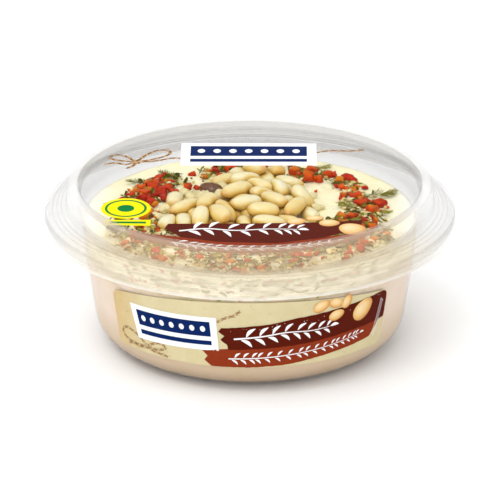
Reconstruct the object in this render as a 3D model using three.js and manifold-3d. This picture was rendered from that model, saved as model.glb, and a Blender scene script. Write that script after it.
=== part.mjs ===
// A round tub of hummus topped with pine nuts, diced red pepper and herbs, under a clear press-on lid.
// Millimetres, +Z up. The origin is the centre of the ring that the tub stands on, and the label
// faces -Y. Heights are called z, distances from the upright axis are called radii, and an angle
// round the tub is 0 at the front (-Y) and grows towards +X.
import * as THREE from 'three';
import { mergeVertices } from 'three/addons/utils/BufferGeometryUtils.js';
import Module from 'manifold-3d';

const wasm = await Module();
wasm.setup();

// ---- driving dimensions ----------------------------------------------------------------------
const TURN_STEPS = 48; // facets round the tub and the lid

const LID_RADIUS = 57.5; // outside of the skirt at its lower edge
const LID_TOP = 45.9; // top of the stacking ring
const LID_WALL = 0.6;
const SKIRT_BOTTOM = 34.2;
const BRIM_EDGE_RADIUS = 56.4;
const BRIM_EDGE_Z = 38.4;
const RING_FOOT_RADIUS = 50.9; // where the stacking ring rises from the brim
const RING_FOOT_Z = 40.3;
const RING_OUTER = 50.1;
const RING_INNER = 47.5;
const PANEL_Z = 42.95; // top face of the sunk panel
const PANEL_RADIUS = 46.7;

const TUB_WALL = 0.7;
const STAND_OUTER = 30.9; // the flat ring that the tub stands on
const STAND_INNER = 27.5;
const PUSH_UP = 0.8; // the base inside that ring is raised by this
const CORNER_RADIAL = 12.4; // the elliptical corner between base and wall
const CORNER_Z = 9.7;
const WALL_FOOT_RADIUS = STAND_OUTER + CORNER_RADIAL;
const WALL_BEND_RADIUS = 45.8;
const WALL_BEND_Z = 26;
const WALL_TOP_RADIUS = 46.4;
const WALL_TOP_Z = 36.6;
const FLANGE_CREST_RADIUS = 49.4; // underside of the rolled flange at its highest
const FLANGE_CREST_Z = 38.5;
const FLANGE_EDGE_RADIUS = 54.9;
const FLANGE_EDGE_Z = 37.05;
const LIP_RADIUS = 55.5;
const LIP_BOTTOM = 35;

const GAP = 0.3; // clearance between the food and the tub
const FILL_Z = 35.8; // level of the hummus
const FOOD_STEPS = 48;

const SWELL = 0.28; // half height of the spooned swells of the surface
const RIDGE = 0.14; // and of the smaller ridges across them
const BED_DEPTH = 0.25; // the nuts lie in a bed this deep

const TOPPING_REACH = 41; // the ring of pepper and herbs ends here
const BARE_CREAM = new THREE.Box2(new THREE.Vector2(12, -11), new THREE.Vector2(30, 17));
const PEPPER_DICE = 32;
const HERB_FLAKES = 40;

const HEAP_X = -3; // centre of the heap of nuts
const HEAP_Y = 5;
const HEAP_REACH_X = 21.5; // reach of the nuts' centres
const HEAP_REACH_Y = 21.5;
const HEAP_EDGE_Z = 37.3; // height of a nut's centre at the heap's edge
const HEAP_RISE = 2.4; // and how much higher it is in the middle
const NUT_WIDTH = 4.8;
const NUT_THICKNESS = 4;
const BED_START = 1.35; // the bed rises to the open surface between these heap distances
const BED_END = 1.7;
const CLEAR_OF_NUTS = 1.38; // least heap distance of the other toppings

const LABEL_GAP = 0.15; // air between tub wall and label
const LABEL_THICK = 0.2;
const PRINT_GAP = 0.12;
const PRINT_THICK = 0.12;
const LABEL_HALF_ANGLE = 54.5; // degrees round the tub, each way from the front
const LABEL_LOW = 8.7;
const LABEL_HIGH = 28.7; // in the middle; the upper edge is a low arch
const LABEL_HIGH_END = 24.75; // and this high at both ends
const LABEL_CORNER = 2.2;

const MESH_TOLERANCE = 0.05; // how far fusing may move a surface to save faces
const DEGREE = Math.PI / 180;
const GOLDEN_ANGLE = Math.PI * (3 - Math.sqrt(5));

// ---- small helpers ---------------------------------------------------------------------------
// A repeatable source of numbers from 0 to 1.
function seeded(seed) {
  let state = seed * 2654435761 % 4294967296;
  return () => {
    state = (state * 1664525 + 1013904223) % 4294967296;
    return state / 4294967296;
  };
}

const lerp = (a, b, t) => a + (b - a) * t;
const point = (radius, z) => new THREE.Vector2(radius, z);

// Points along a quarter of an ellipse, from its lowest point round to its outermost one.
function cornerArc(centreRadius, centreZ, radial, rise, steps) {
  return Array.from({ length: steps }, (_, i) => {
    const turn = ((i + 1) / steps) * (Math.PI / 2);
    return point(centreRadius + radial * Math.sin(turn), centreZ - rise * Math.cos(turn));
  });
}

// The same path moved sideways to its left by an even distance, with mitred corners.
function offsetPath(path, distance) {
  const lastStep = path.length - 2;
  const stepFrom = (i) => path[i + 1].clone().sub(path[i]).normalize();
  return path.map((here, i) => {
    const into = stepFrom(Math.max(i - 1, 0));
    const out = stepFrom(Math.min(i, lastStep));
    const mitre = point(-into.y - out.y, into.x + out.x).normalize();
    const normal = point(-out.y, out.x);
    const moved = here.clone().addScaledVector(mitre, distance / mitre.dot(normal));
    return here.x === 0 ? point(0, moved.y) : moved;
  });
}

// Turns a closed outline, listed anticlockwise in radius and height, round the upright axis.
function turned(outline, steps) {
  return new THREE.LatheGeometry(outline, steps).rotateX(Math.PI / 2);
}

// A turned shell of even wall, from the path of its lower or outer face.
function turnedShell(lowerPath, wall) {
  const upperPath = offsetPath(lowerPath, wall);
  return turned([...lowerPath, ...upperPath.reverse()], TURN_STEPS);
}

function shared(geometry) {
  const bare = geometry.clone();
  bare.deleteAttribute('normal');
  bare.deleteAttribute('uv');
  return mergeVertices(bare, 1e-4);
}

function toSolid(geometry) {
  const merged = shared(geometry);
  const mesh = new wasm.Mesh({
    numProp: 3,
    vertProperties: new Float32Array(merged.attributes.position.array),
    triVerts: new Uint32Array(merged.index.array),
  });
  return new wasm.Manifold(mesh);
}

// Joins solids into one body; sealed hollows are filled and loose scraps dropped.
function fuse(solids) {
  const joined = wasm.Manifold.union(solids).simplify(MESH_TOLERANCE);
  const bodies = joined.decompose();
  bodies.sort((a, b) => b.volume() - a.volume());
  return bodies[0];
}

function toGeometry(solid) {
  const mesh = solid.getMesh();
  const geometry = new THREE.BufferGeometry();
  geometry.setAttribute('position', new THREE.BufferAttribute(mesh.vertProperties, 3));
  geometry.setIndex(new THREE.BufferAttribute(mesh.triVerts, 1));
  geometry.computeVertexNormals();
  return geometry;
}

function placed(geometry, { x = 0, y = 0, z = 0, roll = 0, pitch = 0, heading = 0 }) {
  return geometry.rotateX(roll).rotateY(pitch).rotateZ(heading).translate(x, y, z);
}

// ---- tub -------------------------------------------------------------------------------------
function wallRadius(z) {
  if (z < WALL_BEND_Z) {
    return lerp(WALL_FOOT_RADIUS, WALL_BEND_RADIUS, (z - CORNER_Z) / (WALL_BEND_Z - CORNER_Z));
  }
  return lerp(WALL_BEND_RADIUS, WALL_TOP_RADIUS, (z - WALL_BEND_Z) / (WALL_TOP_Z - WALL_BEND_Z));
}

function baseAndCorner() {
  return [
    point(0, PUSH_UP),
    point(STAND_INNER - PUSH_UP, PUSH_UP),
    point(STAND_INNER, 0),
    point(STAND_OUTER, 0),
    ...cornerArc(STAND_OUTER, CORNER_Z, CORNER_RADIAL, CORNER_Z, 4),
  ];
}

function tubGeometry() {
  const outside = [
    ...baseAndCorner(),
    point(WALL_BEND_RADIUS, WALL_BEND_Z),
    point(WALL_TOP_RADIUS, WALL_TOP_Z),
    point(WALL_TOP_RADIUS + 1, FLANGE_CREST_Z - 0.4),
    point(FLANGE_CREST_RADIUS, FLANGE_CREST_Z),
    point(FLANGE_EDGE_RADIUS, FLANGE_EDGE_Z),
    point(LIP_RADIUS, LIP_BOTTOM),
  ];
  return turnedShell(outside, TUB_WALL);
}

// ---- lid -------------------------------------------------------------------------------------
// The sunk panel, the raised stacking ring round it, the brim and the skirt, as one thin shell.
function lidGeometry() {
  const round = 0.7; // rounding of the ring's two upper edges
  const upper = [
    point(0, PANEL_Z),
    point(PANEL_RADIUS, PANEL_Z),
    point(RING_INNER - 0.1, LID_TOP - round),
    point(RING_INNER + round, LID_TOP),
    point(RING_OUTER - round, LID_TOP),
    point(RING_OUTER + 0.1, LID_TOP - round),
    point(RING_FOOT_RADIUS - 0.1, RING_FOOT_Z + round),
    point(RING_FOOT_RADIUS + 0.4, RING_FOOT_Z),
    point(BRIM_EDGE_RADIUS - 0.4, BRIM_EDGE_Z),
    point(BRIM_EDGE_RADIUS + 0.1, BRIM_EDGE_Z - 1),
    point(LID_RADIUS - 0.4, BRIM_EDGE_Z - 1.5),
    point(LID_RADIUS, SKIRT_BOTTOM),
  ];
  const lower = offsetPath(upper, -LID_WALL);
  return turned([...lower, ...upper.reverse()], TURN_STEPS);
}

// ---- hummus with its diced pepper and herbs --------------------------------------------------
// How far a place lies from the middle of the nut heap, where 1 is the reach of the nuts' centres.
function heapDistance(x, y) {
  return Math.hypot((x - HEAP_X) / HEAP_REACH_X, (y - HEAP_Y) / HEAP_REACH_Y);
}

// The spooned surface: long low swells, with a shallow bed where the nuts lie.
function hummusRelief(x, y) {
  const swell = SWELL * Math.sin(0.21 * x + 0.6) * Math.cos(0.17 * y - 0.4);
  const ridges = RIDGE * Math.sin(0.38 * x - 0.31 * y + 1.1);
  const outOfBed = THREE.MathUtils.smoothstep(heapDistance(x, y), BED_START, BED_END);
  return lerp(-BED_DEPTH, swell + ridges, outOfBed);
}

function hummusBody() {
  const wall = [point(WALL_BEND_RADIUS, WALL_BEND_Z), point(wallRadius(FILL_Z), FILL_Z)];
  const side = offsetPath([...baseAndCorner(), ...wall], TUB_WALL + GAP);
  side[side.length - 1].y = FILL_Z;
  const rim = side[side.length - 1].x;
  const ringSpacing = [0.96, 0.88, 0.78, 0.68, 0.57, 0];
  const top = ringSpacing.map((share) => point(rim * share, FILL_Z));
  const geometry = turned([...side, ...top], FOOD_STEPS);
  const place = geometry.attributes.position;
  for (let i = 0; i < place.count; i++) {
    if (place.getZ(i) > FILL_Z - 0.01) {
      place.setZ(i, FILL_Z + hummusRelief(place.getX(i), place.getY(i)));
    }
  }
  return toSolid(geometry);
}

// Places for small toppings: a seeded spiral over the ring between the nuts and the bare rim.
// The cream to the right of the heap stays bare.
function toppingPlaces(count, seed) {
  const random = seeded(seed);
  const places = [];
  for (let i = 0; places.length < count; i++) {
    const radius = TOPPING_REACH * Math.sqrt(lerp(0.3, 1, random()));
    const turn = i * GOLDEN_ANGLE + 0.5 * random();
    const x = radius * Math.cos(turn);
    const y = radius * Math.sin(turn);
    const onBareCream = BARE_CREAM.containsPoint(new THREE.Vector2(x, y));
    if (heapDistance(x, y) > CLEAR_OF_NUTS && !onBareCream) {
      places.push({ x, y, random });
    }
  }
  return places;
}

function pepperDice() {
  return toppingPlaces(PEPPER_DICE, 11).map(({ x, y, random }) => {
    const height = lerp(1.2, 2, random());
    const size = new THREE.BoxGeometry(lerp(2, 3.8, random()), lerp(1.8, 2.8, random()), height);
    const z = FILL_Z + hummusRelief(x, y) + 0.15 * height;
    const turn = { roll: lerp(-0.2, 0.2, random()), pitch: lerp(-0.2, 0.2, random()) };
    return toSolid(placed(size, { x, y, z, ...turn, heading: random() * Math.PI }));
  });
}

// A flake is a thin sliver, widest in the middle and pointed at both ends.
function herbFlake(length, width) {
  const thick = 1.1;
  return new THREE.OctahedronGeometry(1).scale(length / 2, width / 2, thick / 2);
}

function herbFlakes() {
  return toppingPlaces(HERB_FLAKES, 29).map(({ x, y, random }) => {
    const flake = herbFlake(lerp(2.6, 5.2, random()), lerp(1.2, 2.2, random()));
    const z = FILL_Z + hummusRelief(x, y) + 0.25;
    const turn = { roll: lerp(-0.5, 0.5, random()), heading: random() * 2 * Math.PI };
    return toSolid(placed(flake, { x, y, z, ...turn }));
  });
}

function hummusGeometry() {
  return toGeometry(fuse([hummusBody(), ...pepperDice(), ...herbFlakes()]));
}

// ---- pine nuts -------------------------------------------------------------------------------
// The nuts that lie open on the heap: centre x, centre y, heading in degrees, length.
const OPEN_NUTS = [
  [1.6, 26.4, -44, 9], [7.1, 27.2, -69, 8.5], [-7.1, 22.7, 20, 8.5], [-1.4, 16.5, 10, 9],
  [-3.5, 7.6, 40, 10.5], [3.3, 12.3, -20, 8.5], [3.6, 6.8, 5, 8.5], [7.8, 11.2, -66, 8.5],
  [-1.9, -1.6, 29, 9.5], [6.6, 1.1, -47, 10], [14.6, 7, -44, 9], [12.4, -3.7, 57, 9.5],
  [16.3, -2.8, -60, 8.5], [-20.9, 7.8, 85, 8], [-17.9, -0.7, 35, 10.5], [-11.7, -0.8, 72, 10],
  [-6, -4.9, -66, 10], [-8.8, -9.6, -54, 10], [-1.1, -10.3, -82, 9], [3.6, -6.7, -8, 9],
  [5.2, -11.5, 5, 10], [9.7, -8.6, 5, 8.5], [-22.5, -8.5, 75, 8.5], [-17.7, -8.6, 95, 8.5],
  [-13.4, -10, 80, 8.5], [-11, 15.3, -40, 7.5],
];
const EDGE_NUTS = 20; // places for further nuts round the foot of the heap
const NUT_ROOM = 4.8; // least distance between the centres of two nuts

function heapHeight(x, y) {
  const distance = Math.min(heapDistance(x, y), 1);
  return HEAP_EDGE_Z + HEAP_RISE * (1 - distance * distance);
}

// A pine nut: a long drop, blunt at one end and drawn to a soft point at the other.
function pineNut(length) {
  const nut = new THREE.SphereGeometry(1, 7, 5).rotateZ(Math.PI / 2);
  const place = nut.attributes.position;
  for (let i = 0; i < place.count; i++) {
    const along = place.getX(i);
    const taper = 1 - 0.16 * along;
    place.setXYZ(
      i,
      along * length / 2,
      place.getY(i) * taper * NUT_WIDTH / 2,
      place.getZ(i) * taper * NUT_THICKNESS / 2,
    );
  }
  return nut;
}

// The tilt that lays a nut of this heading along the slope of the heap.
function slopePitch(x, y, heading) {
  const reach = 3;
  const aheadZ = heapHeight(x + reach * Math.cos(heading), y + reach * Math.sin(heading));
  const behindZ = heapHeight(x - reach * Math.cos(heading), y - reach * Math.sin(heading));
  return -Math.atan2(aheadZ - behindZ, 2 * reach);
}

function nutSolid(x, y, headingDegrees, length) {
  const heading = headingDegrees * DEGREE;
  const pose = { x, y, z: heapHeight(x, y), pitch: slopePitch(x, y, heading), heading };
  return toSolid(placed(pineNut(length), pose));
}

// Further nuts round the foot of the heap, wherever no open nut lies already.
function edgeNuts() {
  const random = seeded(5);
  const places = Array.from({ length: EDGE_NUTS }, (_, i) => {
    const turn = (i / EDGE_NUTS) * 2 * Math.PI;
    const x = HEAP_X + HEAP_REACH_X * Math.cos(turn);
    const y = HEAP_Y + HEAP_REACH_Y * Math.sin(turn);
    return [x, y, 180 * random(), lerp(8.5, 10, random())];
  });
  const isFar = ([x, y]) => ([openX, openY]) => Math.hypot(x - openX, y - openY) > NUT_ROOM;
  return places.filter((place) => OPEN_NUTS.every(isFar(place))).map((nut) => nutSolid(...nut));
}

// The packed nuts inside the heap, as one low dome.
function heapCore() {
  const sunk = 0.9; // the nuts' centres lie this far above the dome
  const top = HEAP_EDGE_Z + HEAP_RISE - sunk;
  const floor = FILL_Z - 2;
  const rings = [1, 0.8, 0.5];
  const outline = rings.map((share) => point(share, lerp(HEAP_EDGE_Z - sunk, top, 1 - share * share)));
  const profile = [point(0, floor), point(1, floor), ...outline, point(0, top)];
  const dome = turned(profile, 24);
  return toSolid(dome.scale(HEAP_REACH_X, HEAP_REACH_Y, 1).translate(HEAP_X, HEAP_Y, 0));
}

function pineNutsGeometry() {
  const open = OPEN_NUTS.map((nut) => nutSolid(...nut));
  const heap = fuse([heapCore(), ...open, ...edgeNuts()]);
  const flatFoot = FILL_Z + 0.05;
  const depth = 10;
  const below = new THREE.BoxGeometry(2 * LID_RADIUS, 2 * LID_RADIUS, depth);
  const cutter = toSolid(below.translate(0, 0, flatFoot - depth / 2));
  return toGeometry(fuse([heap.subtract(cutter)]));
}

// ---- printed label round the front of the tub ------------------------------------------------
// Bends an upright sheet round the tub wall: its low and high edges are given for each angle.
// Its middle row of points follows the bend of the wall where the sheet is high enough.
function wrapped({ from, to, low, high, lift, thick }) {
  const columns = Math.ceil((to - from) / 6);
  const sheet = new THREE.BoxGeometry(1, thick, 1, columns, 1, 2);
  const place = sheet.attributes.position;
  for (let i = 0; i < place.count; i++) {
    const angle = lerp(from, to, place.getX(i) + 0.5);
    const top = high(angle);
    const rows = [low(angle), Math.min(WALL_BEND_Z, top - 0.6), top];
    const z = rows[Math.round(2 * place.getZ(i)) + 1];
    const radius = wallRadius(z) + lift + thick / 2 - place.getY(i);
    place.setXYZ(i, radius * Math.sin(angle * DEGREE), -radius * Math.cos(angle * DEGREE), z);
  }
  return sheet;
}

const PRINT_LIFT = LABEL_GAP + LABEL_THICK + PRINT_GAP;

function sideLabelGeometry() {
  const cornerAngle = (LABEL_CORNER / WALL_BEND_RADIUS) / DEGREE;
  const inset = (angle) => {
    const past = (Math.abs(angle) - (LABEL_HALF_ANGLE - cornerAngle)) / cornerAngle;
    return past > 0 ? LABEL_CORNER * (1 - Math.sqrt(Math.max(0, 1 - past * past))) : 0;
  };
  const arch = (angle) => lerp(LABEL_HIGH, LABEL_HIGH_END, (angle / LABEL_HALF_ANGLE) ** 2);
  return wrapped({
    from: -LABEL_HALF_ANGLE,
    to: LABEL_HALF_ANGLE,
    low: (angle) => LABEL_LOW + inset(angle),
    high: (angle) => arch(angle) - inset(angle),
    lift: LABEL_GAP,
    thick: LABEL_THICK,
  });
}

// Each field runs between two angles; low and high are its heights at the first and at the second.
function sideField(from, to, low, high) {
  const edgeThrough = ([start, end]) => (angle) => lerp(start, end, (angle - from) / (to - from));
  const shape = { from, to, low: edgeThrough(low), high: edgeThrough(high) };
  return wrapped({ ...shape, lift: PRINT_LIFT, thick: PRINT_THICK });
}

const sidePlate = sideField(-45.2, -11.5, [13, 13.8], [23, 23.8]);
const sideBanner = sideField(-8.5, 52.5, [14.4, 16.4], [21.2, 24.9]);
const sideBand = sideField(-16, 49.5, [9.3, 11.9], [13.3, 15.7]);

// ---- print on the lid's panel ----------------------------------------------------------------
function lidField(corners) {
  const shape = new THREE.Shape(corners.map(([x, y]) => new THREE.Vector2(x, y)));
  const flat = new THREE.ExtrudeGeometry(shape, { depth: PRINT_THICK, bevelEnabled: false });
  return flat.translate(0, 0, PANEL_Z);
}

function lidOval(x, y, halfWidth, halfDepth) {
  const steps = 32;
  const corners = Array.from({ length: steps }, (_, i) => {
    const turn = (i / steps) * 2 * Math.PI;
    return [x + halfWidth * Math.cos(turn), y + halfDepth * Math.sin(turn)];
  });
  return lidField(corners);
}

const lidPlate = lidField([[-19.5, 18.8], [18.7, 18.8], [18.9, 36.3], [-19.3, 36.7]]);
const lidBanner = lidField([
  [-22.9, -28.9], [-18.4, -34.8], [-8.6, -38.2], [7.1, -38.9], [19.7, -35.2], [30.1, -28.1],
  [30.2, -22.7], [21.6, -24.2], [0, -25.1], [-22.1, -25.3],
]);
const lidBand = lidField([
  [-21.5, -40.4], [-15, -43.4], [0, -45.9], [15, -43.4], [22.5, -39.6], [29.5, -35.2],
  [25, -34], [7.5, -39.5], [-8.8, -39.2], [-18.5, -36], [-26.5, -36.6],
]);
const lidBadge = lidOval(-33.6, -14, 6.9, 7.4);
const lidBadgeBar = lidField([[-37.5, -26.4], [-27, -26.4], [-27, -22.4], [-39.4, -22.4]]);

// ---- assembly --------------------------------------------------------------------------------
const hummusTub = new THREE.Group();

function addPiece(name, geometry, color, roughness, opacity = 1) {
  const material = new THREE.MeshStandardMaterial({
    color,
    roughness,
    metalness: 0,
    transparent: opacity < 1,
    opacity,
  });
  const mesh = new THREE.Mesh(geometry, material);
  mesh.name = name;
  hummusTub.add(mesh);
}

addPiece('tub', tubGeometry(), 0xf3eee8, 0.2, 0.3);
addPiece('hummus', hummusGeometry(), 0xf0dcb4, 0.6);
addPiece('pine_nuts', pineNutsGeometry(), 0xeed6a0, 0.4);
addPiece('lid', lidGeometry(), 0xf4f6f8, 0.15, 0.25);
addPiece('side_label', sideLabelGeometry(), 0xe6d8ac, 0.5);
addPiece('side_plate', sidePlate, 0xffffff, 0.45);
addPiece('side_banner', sideBanner, 0x641e12, 0.45);
addPiece('side_band', sideBand, 0x96371c, 0.45);
addPiece('lid_plate', lidPlate, 0xffffff, 0.4);
addPiece('lid_banner', lidBanner, 0x641e12, 0.4);
addPiece('lid_band', lidBand, 0x96371c, 0.4);
addPiece('lid_badge', lidBadge, 0xffef00, 0.4);
addPiece('lid_badge_bar', lidBadgeBar, 0xf2ee50, 0.4);

export default hummusTub;
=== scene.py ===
"""The looks of a shut tub of hummus with pine nuts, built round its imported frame.

Lengths are millimetres until mesh_object() turns them into metres. The tub's round axis is Z, its
label faces -Y, and an angle round the tub is 0 at the front and grows towards +X.
"""

import math

import bpy
import numpy as np
from mathutils import Matrix, Vector, noise
from mathutils.geometry import delaunay_2d_cdt


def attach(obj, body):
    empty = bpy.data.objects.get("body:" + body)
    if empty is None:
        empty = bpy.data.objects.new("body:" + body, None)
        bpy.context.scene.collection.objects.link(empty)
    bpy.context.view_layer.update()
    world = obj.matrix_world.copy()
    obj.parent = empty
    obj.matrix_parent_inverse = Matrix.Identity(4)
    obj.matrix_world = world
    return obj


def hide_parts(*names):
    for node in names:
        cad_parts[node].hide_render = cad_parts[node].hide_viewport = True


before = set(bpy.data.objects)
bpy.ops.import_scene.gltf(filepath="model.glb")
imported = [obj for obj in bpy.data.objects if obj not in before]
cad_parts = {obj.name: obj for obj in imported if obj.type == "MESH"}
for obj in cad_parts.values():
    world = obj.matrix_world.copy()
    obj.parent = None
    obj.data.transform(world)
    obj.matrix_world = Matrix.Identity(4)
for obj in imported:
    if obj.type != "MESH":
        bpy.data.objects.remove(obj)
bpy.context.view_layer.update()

MM = 0.001  # one millimetre in metres

# ---- sizes that the solids have ----
LID_RADIUS, LID_TOP, LID_WALL = 57.5, 45.9, 0.6
SKIRT_BOTTOM = 34.2
BRIM_EDGE_RADIUS, BRIM_EDGE_Z = 56.4, 38.4
RING_FOOT_RADIUS, RING_FOOT_Z = 50.9, 40.3
RING_OUTER, RING_INNER = 50.1, 47.5
PANEL_RADIUS, PANEL_Z = 46.7, 42.95

TUB_WALL = 0.7
STAND_OUTER, STAND_INNER = 30.9, 27.5
PUSH_UP = 0.8
CORNER_RADIAL, CORNER_Z = 12.4, 9.7
WALL_FOOT_RADIUS = STAND_OUTER + CORNER_RADIAL
WALL_BEND_RADIUS, WALL_BEND_Z = 45.8, 26.0
WALL_TOP_RADIUS, WALL_TOP_Z = 46.4, 36.6
FLANGE_CREST_RADIUS, FLANGE_CREST_Z = 49.4, 38.5
FLANGE_EDGE_RADIUS, FLANGE_EDGE_Z = 54.9, 37.05
LIP_RADIUS, LIP_BOTTOM = 55.5, 35.0

FILL_Z = 35.8
BITE_INTO_WALL = 0.35  # the hummus reaches this far into the tub's wall, so that no air shows

HEAP_X, HEAP_Y = -3.0, 5.0
HEAP_REACH_X, HEAP_REACH_Y = 21.5, 21.5
HEAP_EDGE_Z, HEAP_RISE = 37.3, 2.4
NUT_WIDTH, NUT_THICKNESS = 4.8, 4.1
NUT_CORE = 0.43 * NUT_THICKNESS  # radius of the capsule that stands for a nut while the heap settles

LABEL_HALF_ARC, LABEL_LOW = 43.3, 8.7
LABEL_HIGH, LABEL_HIGH_END = 28.7, 24.75  # the upper edge is a low arch

# ---- how finely things are made ----
SHELL_STEPS, PASTE_STEPS, PASTE_RINGS = 144, 168, 75
SHARP_DEGREES = 50  # an edge that turns more than this looks sharp
NUT_GRID, DICE_GRID, CRUMB_GRID, GRAIN_GRID = (18, 20), (9, 12), (14, 18), (6, 8)  # rows, columns

# ---- what the scattered pieces are drawn from ----
NUT_SEED, DICE_SEED, GRAIN_SEED, HERB_SEED, WALL_HERB_SEED, WALL_PEPPER_SEED = 5, 11, 23, 29, 31, 37
TWINE_SEED, SPECK_SEED, NOISE_SEED = 17, 8, 5
GOLDEN_ANGLE = math.pi * (3 - math.sqrt(5))
ANY_HEADING = (0, 6.28)

# ---- how much brighter than its own colour the light shows a surface ----
LIGHT_LEVEL = 1.3
UNDER_LID_LEVEL = 1.2  # for what lies under the clear panel of the lid
CREAM_LEVEL = 1.06  # for the spooned surface, which shades itself a little
UNDER_BRIM_LEVEL = 1.0  # for the side of the paste behind the lid's skirt
WHITE = (1, 1, 1)
BRIGHTEST = 0.95  # no surface gives back more of the light than this


def shown(red, green, blue, level=LIGHT_LEVEL):
    """The surface colour that the studio light shows as this screen colour."""
    screen = np.array([red, green, blue]) / 255
    linear = np.where(screen < 0.04, screen / 12.92, ((screen + 0.055) / 1.055) ** 2.4)
    return tuple(np.minimum(linear / level, BRIGHTEST).tolist())


def seen(red, green, blue):
    """The surface colour that shows as this screen colour through the clear panel of the lid."""
    return shown(red, green, blue, UNDER_LID_LEVEL)


# ---- small helpers ----
def lerp(a, b, t):
    return a + (b - a) * t


def smoothstep(low, high, value):
    t = np.clip((value - low) / (high - low), 0.0, 1.0)
    return t * t * (3 - 2 * t)


def noise_at(x, y, scale, layer):
    return noise.noise(Vector((x * scale, y * scale, layer)))


def unit(rows):
    return rows / np.linalg.norm(rows, axis=1)[:, None]


def left_of(steps):
    return np.stack([-steps[:, 1], steps[:, 0]], 1)


def path_steps(path):
    """Unit steps along a path and the unit vectors to their left."""
    steps = unit(np.gradient(path, axis=0))
    return steps, left_of(steps)


def in_scene(name, data):
    """A new object that shows the data, put in the scene."""
    item = bpy.data.objects.new(name, data)
    bpy.context.scene.collection.objects.link(item)
    return item


def mesh_object(name, vertices, faces, material, sharp=False, node=None):
    """Makes a mesh from millimetres, gives it its finish and lets it ride on the tub.

    node is the solid that it replaces, if any."""
    mesh = bpy.data.meshes.new(name)
    scaled = (np.asarray(vertices, float) * MM).tolist()
    mesh.from_pydata(scaled, [], [list(map(int, face)) for face in faces])
    mesh.validate()
    mesh.polygons.foreach_set("use_smooth", [True] * len(mesh.polygons))
    if sharp:
        mesh.set_sharp_from_angle(angle=math.radians(SHARP_DEGREES))
    mesh.materials.append(material)
    mesh.update()
    piece = in_scene(name, mesh)
    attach(piece, "root")
    if node:
        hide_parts(node)
    return piece


def casts_no_shade(piece):
    """For the clear lid and the thin ink films on it, which let nearly all of the light through."""
    piece.visible_shadow = False
    piece.visible_diffuse = False


def tone_rows(count, first, second=0.0, third=0.0):
    """Tones for count vertices, for the material to read; each is one number or one for each."""
    rows = np.ones((count, 4))
    for column, tone in enumerate((first, second, third)):
        rows[:, column] = tone
    return rows


def add_tones(piece, tones):
    layer = piece.data.color_attributes.new("tone", "FLOAT_COLOR", "POINT")
    layer.data.foreach_set("color", np.asarray(tones, np.float32).ravel())


# ---- turned shells ----
def filleted(corners, arc_steps=5):
    """Rounds the corners of a path: each corner is (radius, z) or (radius, z, rounding)."""
    path = []
    for i, corner in enumerate(corners):
        here = np.array(corner[:2], float)
        rounding = corner[2] if len(corner) > 2 else 0.0
        if rounding == 0.0 or i in (0, len(corners) - 1):
            path.append(here)
            continue
        before = np.array(corners[i - 1][:2], float) - here
        after = np.array(corners[i + 1][:2], float) - here
        cut = min(rounding, 0.48 * np.linalg.norm(before), 0.48 * np.linalg.norm(after))
        start = here + cut * before / np.linalg.norm(before)
        end = here + cut * after / np.linalg.norm(after)
        for t in np.linspace(0, 1, arc_steps):
            path.append((1 - t) ** 2 * start + 2 * t * (1 - t) * here + t * t * end)
    return np.array(path)


def offset_path(path, distance):
    """The same path moved sideways to its left by an even distance."""
    steps = unit(np.diff(path, axis=0))
    into = np.vstack([steps[:1], steps])
    out = np.vstack([steps, steps[-1:]])
    mitre = unit(left_of(into + out))
    moved = path + mitre * (distance / np.sum(mitre * left_of(out), 1))[:, None]
    moved[path[:, 0] == 0, 0] = 0.0
    return moved


def turned(outline, steps):
    """Vertices and faces of an outline of (radius, z), anticlockwise, turned round the Z axis."""
    vertices, rings = [], []
    angles = np.linspace(0, 2 * math.pi, steps, endpoint=False)
    for radius, z in outline:
        first = len(vertices)
        if radius < 1e-6:
            vertices.append((0.0, 0.0, z))
            rings.append([first] * steps)
        else:
            vertices.extend((radius * math.cos(a), radius * math.sin(a), z) for a in angles)
            rings.append(list(range(first, first + steps)))
    faces = []
    for low, high in zip(rings, rings[1:]):
        for i in range(steps):
            j = (i + 1) % steps
            corners = list(dict.fromkeys([low[i], low[j], high[j], high[i]]))
            if len(corners) > 2:
                faces.append(corners)
    return np.array(vertices), faces


def wall_radius(z):
    heights = [0.0, CORNER_Z, WALL_BEND_Z, WALL_TOP_Z]
    slope = (WALL_BEND_RADIUS - WALL_FOOT_RADIUS) / (WALL_BEND_Z - CORNER_Z)
    radii = [WALL_FOOT_RADIUS - slope * CORNER_Z, WALL_FOOT_RADIUS, WALL_BEND_RADIUS, WALL_TOP_RADIUS]
    return np.interp(z, heights, radii)


def base_to_bend():
    """Corners of the tub's outer face from the middle of its base to the bend in its wall."""
    base = [(0, PUSH_UP), (STAND_INNER - PUSH_UP, PUSH_UP, 0.4), (STAND_INNER, 0, 0.3), (STAND_OUTER, 0)]
    turns = np.linspace(0, math.pi / 2, 15)[1:]
    corner = [(STAND_OUTER + CORNER_RADIAL * math.sin(t), CORNER_Z - CORNER_Z * math.cos(t)) for t in turns]
    return base + corner + [(WALL_BEND_RADIUS, WALL_BEND_Z, 3.0)]


def shell(name, first_side, other_side, material, node):
    vertices, faces = turned(np.vstack([first_side, other_side[::-1]]), SHELL_STEPS)
    return mesh_object(name, vertices, faces, material, True, node)


def clear_tub(material):
    outside = filleted(base_to_bend() + [
        (WALL_TOP_RADIUS, WALL_TOP_Z, 0.8),
        (WALL_TOP_RADIUS + 1, FLANGE_CREST_Z - 0.4, 0.6),
        (FLANGE_CREST_RADIUS, FLANGE_CREST_Z, 0.9),
        (FLANGE_EDGE_RADIUS, FLANGE_EDGE_Z, 0.7),
        (LIP_RADIUS, LIP_BOTTOM),
    ])
    shell("clear_tub", outside, offset_path(outside, TUB_WALL), material, "tub")


RIDGE_RADII = (52.3, 53.5, 54.7)
RIDGE_HALF_WIDTH, RIDGE_HEIGHT = 0.3, 0.2


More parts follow.
